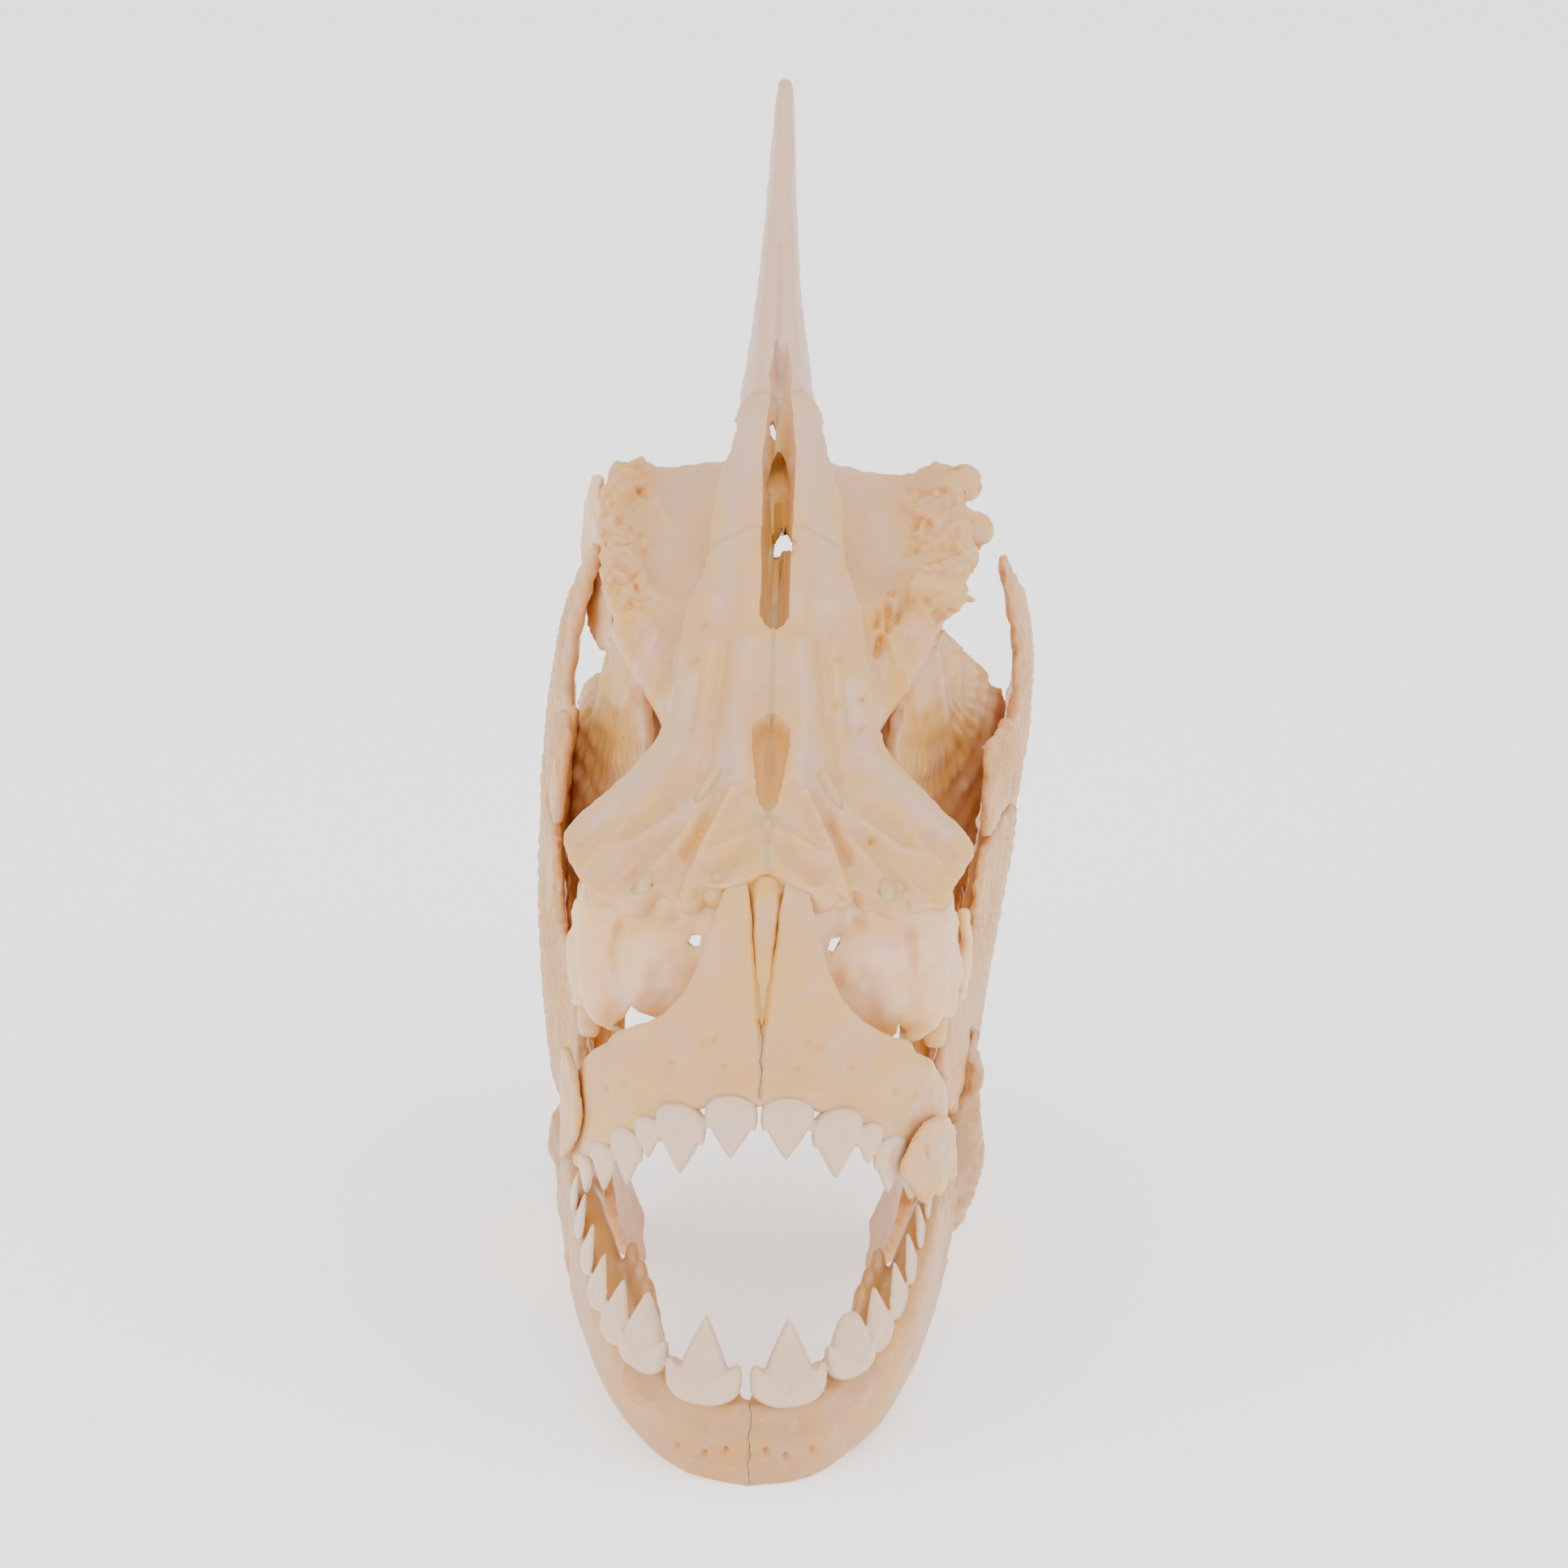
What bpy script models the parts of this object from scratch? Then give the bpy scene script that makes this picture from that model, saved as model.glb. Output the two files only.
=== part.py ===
"""Skull of a red-bellied piranha, dried and cleaned, standing with its mouth open.

The skull faces -Y and stands on +Z. It rests on the flat under its chin and on the two lower
edges of its gill covers. X runs across it, and its own left side lies on +X.
"""

import math

import bpy
import bmesh
import numpy as np
from mathutils import Matrix, Vector
from mathutils.bvhtree import BVHTree

MM = 0.001                    # one millimetre in metres: the sizes below are millimetres
GAP = 0.3                     # space that neighbouring bones keep
DEPTH_CENTRE = 36.1           # y of the origin, counted back from the front of the chin
SIDE_CENTRE = 1.0             # x of the origin, as the left gill cover stands further out

# The flank, which is the outer surface that the cheek and gill plates follow
FLANK_HALF_WIDTH = 17.05
FLANK_WIDEST = (55.0, 31.0)   # y and z of the widest place
FLANK_TAPER = 0.0029          # how fast it narrows forwards, per mm squared
FLANK_TUCK_LOW = 0.26         # share of the half width lost at the floor
FLANK_TUCK_HIGH = 0.25        # share lost 25 mm above the widest place
LOWER_EDGE = ((30.0, 4.0), (43.0, -0.5), (50.0, -0.2), (57.0, 5.0), (64.0, 10.0), (71.0, 18.0))
LOWER_CURL = 1.4              # how far the plates turn inwards at their lower edge
LEFT_SPLAY = 3.5              # how far the loose left gill cover stands out at its top

# The gape: outer edge of the tooth line of the lower jaw, from the chin back to the joint
JAW_SPAN = (0.0, 0.16, 0.36, 0.56, 0.76, 1.0)
JAW_X = (-0.4, 4.2, 8.7, 11.7, 13.4, 14.6)
JAW_Y = (-0.3, 0.7, 4.4, 9.6, 17.4, 30.6)
JAW_TOP = (5.6, 6.0, 7.6, 10.6, 15.0, 14.2)
JAW_LOW = (-1.4, -1.3, -0.6, 0.9, 3.9, 8.2)
JAW_TOP_WALL = (2.4, 2.6, 3.5, 3.8, 2.8, 2.2)
JAW_LOW_WALL = (5.6, 4.6, 3.6, 3.6, 3.0, 2.6)
JAW_SETBACK = (0.1, 1.2, 2.5, 1.9, 0.8, 0.1)
JAW_SPLIT = 0.80              # place along the jaw where the dentary ends
JOINT = (12.7, 30.0, 15.2)    # middle of the jaw joint
JOINT_RADIUS = 1.6

# Upper jaw: outer edge of its tooth line from the middle to the corner of the mouth
UPPER_SPAN = (0.0, 0.25, 0.48, 0.68, 0.85, 1.0)
UPPER_X = (-0.4, 4.0, 7.6, 10.4, 12.4, 13.5)
UPPER_Y = (5.6, 6.0, 7.7, 10.3, 13.6, 17.4)
UPPER_EDGE = (27.2, 26.8, 24.8, 22.2, 19.8, 17.2)
UPPER_TALL = (4.2, 4.5, 5.4, 7.0, 8.0, 6.4)
UPPER_WALL = (2.4, 2.5, 2.5, 2.3, 2.1, 1.6)

# Teeth, from the middle outwards: place along the jaw, width, height
LOWER_TEETH = (
    (0.125, 5.2, 6.3), (0.320, 4.3, 4.7), (0.450, 3.4, 3.6), (0.555, 2.9, 3.2),
    (0.640, 2.5, 2.8), (0.705, 2.3, 2.4), (0.760, 2.0, 2.0),
)
UPPER_TEETH = (
    (0.135, 3.9, 5.1), (0.385, 4.4, 5.3), (0.535, 2.6, 2.6), (0.665, 3.7, 3.6),
    (0.815, 3.2, 2.8), (0.950, 2.6, 2.0),
)
LOWER_ROW_SHIFT = -0.4        # the lower teeth stand this far to the skull's right
TOOTH_THICK = 0.42            # thickness of a tooth as a share of its width
ROOT_DEPTH = 1.3              # how far a root runs into the jaw
LOWER_SHOULDER = 0.42         # height of a tooth's shoulders as a share of its height
UPPER_SHOULDER = 0.54

# Roof of the skull along the middle: height against y
ROOF = ((11.0, 42.4), (15.0, 45.5), (20.0, 48.4), (26.0, 51.4), (30.0, 53.8), (38.0, 58.8),
        (48.0, 65.3), (54.0, 68.0))
# Height of the roof's outer edge, and its reach from the middle, against y
EDGE_Z = ((11.0, 41.0), (13.0, 39.8), (16.0, 40.6), (19.0, 41.9), (22.0, 44.2), (25.0, 47.2),
          (29.0, 50.9), (34.0, 53.8), (40.0, 57.0), (48.0, 61.5), (52.0, 64.5))
EDGE_X = ((11.0, 2.5), (13.0, 9.5), (16.0, 13.0), (19.0, 14.3), (22.0, 11.2), (25.0, 7.4),
          (29.0, 6.1), (34.0, 6.1), (40.0, 5.0), (48.0, 3.7), (52.0, 2.4))
ROOF_THICK = 1.8
RIDGE_THICK = 3.4             # thickness of the ridges beside the back fontanelle
ROOF_SPLIT = 39.0             # y of the suture between frontal and parietal
SUTURE = 0.15                 # half the gap that the bones of the two sides keep at the middle
FRONT_WINDOW = (15.0, 22.4, 1.3)      # front and back y and half width of the front fontanelle
BACK_WINDOW = (30.2, 1.15)            # front y and half width of the back fontanelle
WINDOW_FLOOR = 47.5           # height of the floor that the back fontanelle shows
LEFT_RIM = 1.2                # how much further the left rim stands out, its gill cover's tie being lost
KNOBS = ((13.7, 55.5, 56.6, 1.4), (14.6, 51.6, 54.2, 1.4), (13.5, 46.8, 53.6, 1.3),
         (-11.4, 54.0, 56.6, 1.2), (-12.0, 47.0, 55.0, 1.2))      # x, y, z and radius
SPIKE = ((10.8, 39.8, 53.4), (14.7, 38.4, 53.6))                  # root and tip
CASE_FRONT = 28.0             # y of the front and back walls of the braincase
CASE_BACK = 57.0
KEEL_TOP = 34.3               # height of the top of the bar under the skull

# Crest: height against its front edge, its back edge and its half thickness
CREST_LEVELS = (56.5, 62.5, 66.0, 71.0, 76.0, 80.5, 83.4, 84.6)
CREST_FRONT = (52.4, 51.6, 48.9, 51.9, 55.2, 58.2, 60.2, 61.3)
CREST_BACK = (57.0, 58.6, 60.0, 61.6, 63.2, 64.6, 65.2, 64.4)
CREST_HALF = (3.2, 3.0, 2.4, 1.75, 1.2, 0.88, 0.72, 0.5)
CREST_LEAN = -0.35            # the tip of the crest stands this far off the middle

FLOOR = 0.0
FAR = 60.0                    # reach of the cutters, past every bone

COLOURS = {
    "bone": (0.72, 0.56, 0.44),
    "thin_bone": (0.74, 0.58, 0.40),
    "crest": (0.70, 0.54, 0.45),
}


def rail(*stations):
    """Return a smooth curve through (place, value) pairs that runs level past both ends."""
    at, value = (np.array(row, float) for row in zip(*stations))
    slope = np.gradient(value, at)

    def curve(place):
        place = min(max(place, at[0]), at[-1])
        i = min(int(np.searchsorted(at, place, side="right")) - 1, len(at) - 2)
        span = at[i + 1] - at[i]
        f = (place - at[i]) / span
        start = (1 + 2 * f) * (1 - f) ** 2 * value[i] + f * (1 - f) ** 2 * span * slope[i]
        end = f * f * (3 - 2 * f) * value[i + 1] - f * f * (1 - f) * span * slope[i + 1]
        return float(start + end)

    return curve


def ramp(place, start, end):
    """Rise smoothly from 0 at start to 1 at end."""
    f = min(max((place - start) / (end - start), 0.0), 1.0)
    return f * f * (3 - 2 * f)


roof_z = rail(*ROOF)
edge_z = rail(*EDGE_Z)
edge_x = rail(*EDGE_X)
lower_edge = rail(*LOWER_EDGE)


def flank(y, z, side):
    """Half width of the head at a place on its side, over the outermost plates."""
    along = FLANK_HALF_WIDTH - FLANK_TAPER * (y - FLANK_WIDEST[0]) ** 2
    rise = z - FLANK_WIDEST[1]
    if rise < 0:
        tuck = FLANK_TUCK_LOW * (min(-rise / FLANK_WIDEST[1], 1.2)) ** 1.8
    else:
        tuck = FLANK_TUCK_HIGH * (rise / 25.0) ** 2
    curl = LOWER_CURL * (1 - ramp(z - lower_edge(y), -1.0, 8.0)) ** 1.4 * ramp(y, 34.0, 42.0)
    splay = LEFT_SPLAY * ramp(y, 28.0, 50.0) * ramp(z, 20.0, 48.0) if side > 0 else 0.0
    return along * (1 - tuck) - curl * (1 - 0.6 * ramp(y, 60.0, 70.0)) + splay


def material(name):
    """Make or find the finish of one kind of bone."""
    found = bpy.data.materials.get(name)
    if found:
        return found
    made = bpy.data.materials.new(name)
    made.use_nodes = True
    shader = made.node_tree.nodes["Principled BSDF"]
    shader.inputs["Base Color"].default_value = (*COLOURS[name], 1.0)
    shader.inputs["Roughness"].default_value = 0.45
    shader.inputs["Metallic"].default_value = 0.0
    return made


def emit(name, bm, finish="bone"):
    """Turn a mesh under construction, in millimetres, into an object in metres."""
    shift = Vector((-SIDE_CENTRE, -DEPTH_CENTRE, 0.0))
    for vert in bm.verts:
        vert.co = (vert.co + shift) * MM
    bmesh.ops.recalc_face_normals(bm, faces=bm.faces[:])
    mesh = bpy.data.meshes.new(name)
    bm.to_mesh(mesh)
    bm.free()
    mesh.shade_smooth()
    mesh.materials.append(material(finish))
    made = bpy.data.objects.new(name, mesh)
    PARTS.objects.link(made)
    return made


def bake(thing):
    """Give an object the shape that its modifiers make, and drop them."""
    graph = bpy.context.evaluated_depsgraph_get()
    mesh = bpy.data.meshes.new_from_object(thing.evaluated_get(graph))
    old = thing.data
    thing.modifiers.clear()
    thing.data = mesh
    bpy.data.meshes.remove(old)
    thing.data.name = thing.name


def keep_largest(thing):
    """Drop every closed surface of an object but the one round the most space."""
    bm = bmesh.new()
    bm.from_mesh(thing.data)
    bmesh.ops.triangulate(bm, faces=bm.faces[:])
    islands = []
    unseen = set(bm.faces)
    while unseen:
        front = [unseen.pop()]
        island = list(front)
        while front:
            face = front.pop()
            for edge in face.edges:
                for near in edge.link_faces:
                    if near in unseen:
                        unseen.remove(near)
                        front.append(near)
                        island.append(near)
        islands.append(island)

    def space(island):
        corners = ([loop.vert.co for loop in face.loops] for face in island)
        return sum(a.dot(b.cross(c)) for a, b, c in corners)

    best = max(islands, key=space)
    scraps = [face for island in islands if island is not best for face in island]
    bmesh.ops.delete(bm, geom=scraps, context="FACES")
    bm.to_mesh(thing.data)
    bm.free()


def drop_stray(mesh):
    """Drop edges and points of a mesh that no face uses."""
    bm = bmesh.new()
    bm.from_mesh(mesh)
    for edge in [edge for edge in bm.edges if not edge.link_faces]:
        bm.edges.remove(edge)
    for vert in [vert for vert in bm.verts if not vert.link_faces]:
        bm.verts.remove(vert)
    bm.to_mesh(mesh)
    bm.free()


def space_inside(mesh):
    """Return the space that a mesh is closed round, or none if it has an open edge."""
    drop_stray(mesh)
    bm = bmesh.new()
    bm.from_mesh(mesh)
    closed = all(len(edge.link_faces) == 2 for edge in bm.edges)
    space = bm.calc_volume() if closed else 0.0
    bm.free()
    return space


def combine(thing, operation, pieces):
    """Join pieces to an object, or cut them out of it, with one Boolean, and remove them.

    The exact solver's mesh is kept. Where it is open, or the manifold solver's is closed round
    more space, the exact solver has failed, and the manifold solver's mesh is kept.
    """
    holder = bpy.data.collections.new(thing.name + "_pieces")
    bpy.context.scene.collection.children.link(holder)
    for piece in pieces:
        for home in list(piece.users_collection):
            home.objects.unlink(piece)
        holder.objects.link(piece)
    before = thing.data.copy()
    made = []
    for solver in ("MANIFOLD", "EXACT"):
        thing.data = before.copy()
        step = thing.modifiers.new("combine", "BOOLEAN")
        step.operation = operation
        step.operand_type = "COLLECTION"
        step.collection = holder
        step.solver = solver
        bake(thing)
        made.append(thing.data)
    manifold, exact = (space_inside(mesh) for mesh in made)
    thing.data = made[0] if manifold > 1.001 * exact else made[1]
    bpy.data.meshes.remove(before)
    for piece in pieces:
        bpy.data.objects.remove(piece)
    bpy.data.collections.remove(holder)
    keep_largest(thing)
    return thing


def fuse(first, others):
    """Join closed pieces to the first."""
    return combine(first, "UNION", others)


def cut(thing, cutter):
    """Take a cutter out of an object and remove the cutter."""
    return combine(thing, "DIFFERENCE", [cutter])


def swollen(thing):
    """Return a copy of an object that is larger by the gap all round."""
    grown = thing.copy()
    grown.data = thing.data.copy()
    CUTTERS.objects.link(grown)
    swell = grown.modifiers.new("swell", "DISPLACE")
    swell.strength = 1.15 * GAP * MM
    swell.mid_level = 0.0
    bake(grown)
    return grown


def settle(bones):
    """Cut each bone back from those before it in the list that come closer than the gap."""
    for index, bone in enumerate(bones):
        for earlier in bones[:index]:
            apart = any(
                min(v.co[k] for v in bone.data.vertices) - GAP * MM
                > max(v.co[k] for v in earlier.data.vertices)
                or max(v.co[k] for v in bone.data.vertices) + GAP * MM
                < min(v.co[k] for v in earlier.data.vertices) for k in range(3))
            if apart:
                continue
            grown = swollen(earlier)
            if surface_tree(grown).overlap(surface_tree(bone)):
                cut(bone, grown)
            else:
                bpy.data.objects.remove(grown)


def surface_tree(thing):
    """Return the search tree of an object's faces."""
    corners = [vert.co for vert in thing.data.vertices]
    return BVHTree.FromPolygons(corners, [tuple(face.vertices) for face in thing.data.polygons])


def soft(value, power):
    """Push a sine or cosine towards plus or minus one."""
    return math.copysign(abs(value) ** power, value)


def rounded_ring(corners, count=12, power=0.6):
    """Return points round a four-cornered section, with its corners rounded off."""
    ring = []
    for k in range(count):
        turn = math.tau * (k + 0.5) / count
        across = 0.5 + 0.5 * soft(math.cos(turn), power)
        up = 0.5 + 0.5 * soft(math.sin(turn), power)
        low = corners[0].lerp(corners[1], across)
        high = corners[3].lerp(corners[2], across)
        ring.append(low.lerp(high, up))
    return ring


def loft(name, rings, finish="bone"):
    """Bridge closed rings of the same count and cap both ends."""
    bm = bmesh.new()
    layers = [[bm.verts.new(point) for point in ring] for ring in rings]
    for low, high in zip(layers, layers[1:]):
        for i in range(len(low)):
            bm.faces.new((low[i - 1], low[i], high[i], high[i - 1]))
    bm.faces.new(layers[0])
    bm.faces.new(layers[-1])
    bmesh.ops.triangulate(bm, faces=bm.faces[:])
    return emit(name, bm, finish)


def smooth_loop(points, steps=2):
    """Return a closed curve through the points, with steps pieces between each two.

    A point given twice makes a sharp corner.
    """
    corners = [Vector(point) for point in points]
    count = len(corners)
    curve = []
    for i in range(count):
        a, b, c, d = (corners[(i + k - 1) % count] for k in range(4))
        for step in range(steps):
            f = step / steps
            curve.append(0.5 * (2 * b + (c - a) * f + (2 * a - 5 * b + 4 * c - d) * f * f
                                + (3 * b - a - 3 * c + d) * f ** 3))
    return [point for i, point in enumerate(curve) if (point - curve[i - 1]).length > 1e-4]


def twice(*points):
    """Repeat each point, so that smooth_loop makes sharp corners of them."""
    return [point for point in points for _ in range(2)]


def plate(name, outline, surface, thick, cell, finish="thin_bone", steps=2):
    """Fill an outline, cut it into cells, lay it on a surface and give it a thickness.

    Both faces carry the same triangles, so they can't cross where the plate bends.
    """
    bm = bmesh.new()
    loop = smooth_loop(outline, steps)
    bm.faces.new([bm.verts.new((point.x, point.y, 0.0)) for point in loop])
    for axis in (0, 1):
        low = min(point[axis] for point in loop)
        high = max(point[axis] for point in loop)
        count = max(1, round((high - low) / cell))
        for k in range(1, count):
            place = Vector((0.0, 0.0, 0.0))
            place[axis] = low + (high - low) * k / count
            normal = Vector((float(axis == 0), float(axis == 1), 0.0))
            geometry = bm.verts[:] + bm.edges[:] + bm.faces[:]
            bmesh.ops.bisect_plane(bm, geom=geometry, dist=1e-4, plane_co=place, plane_no=normal)
    bmesh.ops.remove_doubles(bm, verts=bm.verts[:], dist=0.2)
    bmesh.ops.triangulate(bm, faces=bm.faces[:])
    for vert in bm.verts:
        vert.co = Vector(surface(vert.co.x, vert.co.y))
    made = emit(name, bm, finish)
    drop_stray(made.data)
    wall = made.modifiers.new("wall", "SOLIDIFY")
    wall.thickness = thick * MM
    wall.offset = 0.0
    bake(made)
    return made


def lump(name, centre, radii, finish="bone", detail=2):
    """Make a round swelling."""
    bm = bmesh.new()
    bmesh.ops.create_icosphere(bm, subdivisions=detail, radius=1.0)
    for vert in bm.verts:
        vert.co = Vector(vert.co[k] * radii[k] + centre[k] for k in range(3))
    return emit(name, bm, finish)


def block(name, low, high, finish="bone"):
    """Make a plain box between two corners."""
    bm = bmesh.new()
    bmesh.ops.create_cube(bm, size=1.0)
    for vert in bm.verts:
        vert.co = Vector((vert.co[k] + 0.5) * (high[k] - low[k]) + low[k] for k in range(3))
    return emit(name, bm, finish)


def other_side(side):
    """Return a cutter for what reaches over the middle of the skull."""
    low, high = sorted((SUTURE * side, -FAR * side))
    return block("other_side", (low, -FAR, -FAR), (high, 2 * FAR, 2 * FAR))


def under_floor():
    """Return a cutter for what reaches under the floor."""
    return block("under_floor", (-FAR, -FAR, -FAR), (FAR, 2 * FAR, FLOOR))


def spine(name, root, tip, radius, tip_radius=0.35, finish="bone"):
    """Make a tapered rod between two points."""
    bm = bmesh.new()
    root, tip = Vector(root), Vector(tip)
    along = tip - root
    bmesh.ops.create_cone(
        bm, cap_ends=True, segments=8, radius1=radius, radius2=tip_radius, depth=along.length)
    turn = along.to_track_quat("Z", "Y").to_matrix().to_4x4()
    bmesh.ops.transform(
        bm, matrix=Matrix.Translation((root + tip) / 2) @ turn, verts=bm.verts[:])
    bmesh.ops.triangulate(bm, faces=bm.faces[:])
    return emit(name, bm, finish)


def lens(name, base, across, up, outward, levels, count=6):
    """Loft a blade whose sections are lenses: levels are (height, half width, half depth)."""
    rings = []
    for height, half_width, half_depth in levels:
        ring = []
        for k in range(count):
            turn = math.tau * k / count
            ring.append(base + up * height + across * half_width * math.cos(turn)
                        + outward * half_depth * soft(math.sin(turn), 1.3))
        rings.append(ring)
    return loft(name, rings)


def tooth(name, base, across, up, outward, width, height, shoulder):
    """Make one cutting tooth: a three-sided blade between two low shoulders."""
    half = width / 2
    deep = TOOTH_THICK * width / 2
    return lens(name, base, across, up, outward, (
        (-ROOT_DEPTH, 0.84 * half, deep),
        (shoulder * height, 0.97 * half, 0.75 * deep),
        ((shoulder + 0.08) * height, 0.66 * half, 0.66 * deep),
        (height, 0.05 * half, 0.10 * deep)))


def jaw_rails(span, *rows):
    """Turn each row of stations into a smooth curve along a jaw."""
    return [rail(*zip(span, row)) for row in rows]


lower_rails = jaw_rails(
    JAW_SPAN, JAW_X, JAW_Y, JAW_TOP, JAW_LOW, JAW_TOP_WALL, JAW_LOW_WALL, JAW_SETBACK)
upper_rails = jaw_rails(UPPER_SPAN, UPPER_X, UPPER_Y, UPPER_EDGE, UPPER_TALL, UPPER_WALL)


def along_jaw(rails, place, side):
    """Return the point on a jaw's tooth line, its direction and the way outwards there."""
    x, y, z = (curve(place) for curve in rails[:3])
    step = 0.01
    ahead = Vector([rails[k](min(place + step, 1.0)) for k in range(3)])
    behind = Vector([rails[k](max(place - step, 0.0)) for k in range(3)])
    run = (ahead - behind).normalized()
    level = Vector((run.x, run.y, 0.0)).normalized()
    out = Vector((level.y, -level.x, 0.0))
    flip = Vector((side, 1.0, 1.0))
    return Vector((x, y, z)) * flip, run * flip, out * flip


def lower_ring(place, side):
    """Return the section of the lower jaw at a place along it."""
    point, _, out = along_jaw(lower_rails, place, side)
    low, top_wall, low_wall, setback = (curve(place) for curve in lower_rails[3:])
    foot = Vector((point.x, point.y, low))
    return rounded_ring((
        foot - out * (setback + low_wall), foot - out * setback,
        point, point - out * top_wall))


def lower_jaw(label, side):
    """Make the dentary with its teeth, and the bone behind it that carries the joint."""
    places = [0.0, 0.07, 0.15, 0.23, 0.31, 0.39, 0.48, 0.58, 0.68, JAW_SPLIT]
    dentary = loft("dentary_" + label, [lower_ring(place, side) for place in places])
    blades = []
    for number, (place, width, height) in enumerate(LOWER_TEETH):
        base, run, out = along_jaw(lower_rails, place, side)
        base = base - out * 0.45 * lower_rails[4](place) + Vector((LOWER_ROW_SHIFT, 0.0, 0.0))
        run.z = 0.0
        up = Vector((0.0, 0.0, 1.0))
        blades.append(tooth(
            f"lower_tooth_{number}_{label}", base, run, up, out, width, height, LOWER_SHOULDER))
    fuse(dentary, blades)
    cut(dentary, other_side(side))
    cut(dentary, under_floor())

    places = [JAW_SPLIT + 0.01, 0.85, 0.90, 0.95, 1.0]
    angular = loft("anguloarticular_" + label, [lower_ring(place, side) for place in places])
    out = 1.3 if side > 0 else 0.1
    heel = spine("heel", ((12.9 + out) * side, 29.4, 11.0), ((12.7 + out) * side, 32.0, 7.4), 1.5, 0.8)
    boss = lump("boss", ((13.3 + out) * side, 30.4, 14.2), (1.8, 2.2, 4.4 if side > 0 else 3.2))
    cup = lump("cup", (JOINT[0] * side, JOINT[1] + 0.4, JOINT[2] - 2.0), (1.7, 2.2, 2.0))
    fuse(angular, [heel, boss, cup])
    return dentary, angular


def upper_ring(place, side):
    """Return the section of the upper jaw at a place along it."""
    point, _, out = along_jaw(upper_rails, place, side)
    tall, wall = (curve(place) for curve in upper_rails[3:])
    top = point + Vector((0.0, 0.0, tall)) - out * 0.42 * tall
    return rounded_ring((point - out * wall, point, top, top - out * 0.8 * wall))


def face_y(z):
    """Depth of the front face of the snout at a height above the upper teeth."""
    return rail((26.0, 7.4), (30.0, 7.8), (34.0, 8.9), (38.0, 10.4), (41.5, 11.9))(z)


def upper_jaw(label, side):
    """Make the premaxilla: the tooth-bearing arch, its rising process and its teeth."""
    places = [0.0, 0.12, 0.24, 0.36, 0.48, 0.60, 0.72, 0.86, 1.0]
    arch = loft("premaxilla_" + label, [upper_ring(place, side) for place in places])
    outline = ((0.0, 27.6), (0.0, 34.0), (0.6, 40.0), (1.6, 41.2), (2.7, 39.8), (3.9, 36.4),
               (5.4, 33.2), (7.2, 30.8), (7.6, 28.4), (4.0, 27.4))
    process = plate("process", outline,
                    lambda x, z: (x * side, face_y(z) + 0.035 * x * x, z), 1.7, 2.2)
    blades = []
    for number, (place, width, height) in enumerate(UPPER_TEETH):
        base, run, out = along_jaw(upper_rails, place, side)
        base = base - out * 0.45 * upper_rails[4](place)
        run.z = 0.0
        down = Vector((0.0, 0.0, -1.0))
        blades.append(tooth(
            f"upper_tooth_{number}_{label}", base, run, down, out, width, height, UPPER_SHOULDER))
    fuse(arch, [process, *blades])
    cut(arch, other_side(side))
    return arch


def back_window():
    """Return a cutter for the long slot between the ridges, down to the braincase's floor."""
    front, half = BACK_WINDOW
    return block("back_window", (-half, front, WINDOW_FLOOR), (half, 50.6, FAR + 20.0))


def roof_surface(side, thick=ROOF_THICK):
    """Return the middle of a roof bone of a thickness on one side, from a plan x and y."""
    def surface(x, y):
        reach = min(max(x, 0.0) / edge_x(y), 1.15)
        fall = roof_z(y) - edge_z(y)
        return x * side, y, roof_z(y) - fall * reach ** 1.7 - thick / 2
    return surface


def frontal(label, side):
    """Make one frontal: the shield over the eye with its wide wing in front of it."""
    front_low, front_high, front_half = FRONT_WINDOW
    back_low, back_half = BACK_WINDOW
    outline = [
        *twice((SUTURE, 11.6)), (2.2, 11.4), (6.0, 12.6), (10.0, 13.3), (12.6, 15.4), (14.2, 19.0),
        (11.0, 22.0), (7.5, 25.3), (6.1, 29.0), (6.1, 33.0),
        *twice((5.5, ROOF_SPLIT - SUTURE), (back_half, ROOF_SPLIT - SUTURE), (back_half, back_low),
               (SUTURE, back_low), (SUTURE, front_high)),
        (0.9 * front_half, front_high - 0.8), (front_half, front_high - 2.6),
        (0.5 * front_half, front_low + 2.0), *twice((SUTURE, front_low))]
    return plate("frontal_" + label, outline, roof_surface(side), ROOF_THICK, 2.6, "bone", 2)


def parietal(label, side):
    """Make the ridge that runs from the shield up to the crest beside the back fontanelle."""
    start = ROOF_SPLIT + SUTURE
    inner = BACK_WINDOW[1]
    outline = [
        *twice((inner, start), (5.3, start)), (4.2, 42.0), (3.1, 45.5), (2.5, 48.0), (1.9, 50.0),
        (1.5, 51.4), *twice((inner, 51.2))]
    surface = roof_surface(side, RIDGE_THICK)
    ridge = plate("parietal_" + label, outline, surface, RIDGE_THICK, 3.0, "bone")
    return cut(ridge, back_window())


def crest():
    """Make the tall blade of the supraoccipital."""
    rings = []
    for z, front, back, half in zip(CREST_LEVELS, CREST_FRONT, CREST_BACK, CREST_HALF):
        ring = []
        for k in range(12):
            turn = math.tau * k / 12
            y = (front + back) / 2 - (back - front) / 2 * soft(math.cos(turn), 0.8)
            bulge = half * (0.9 + 0.1 * math.cos(turn)) * soft(math.sin(turn), 0.7)
            ring.append(Vector((CREST_LEAN * ramp(z, 56.0, 70.0) + bulge, y, z)))
        rings.append(ring)
    return loft("supraoccipital_crest", rings, "crest")


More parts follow.
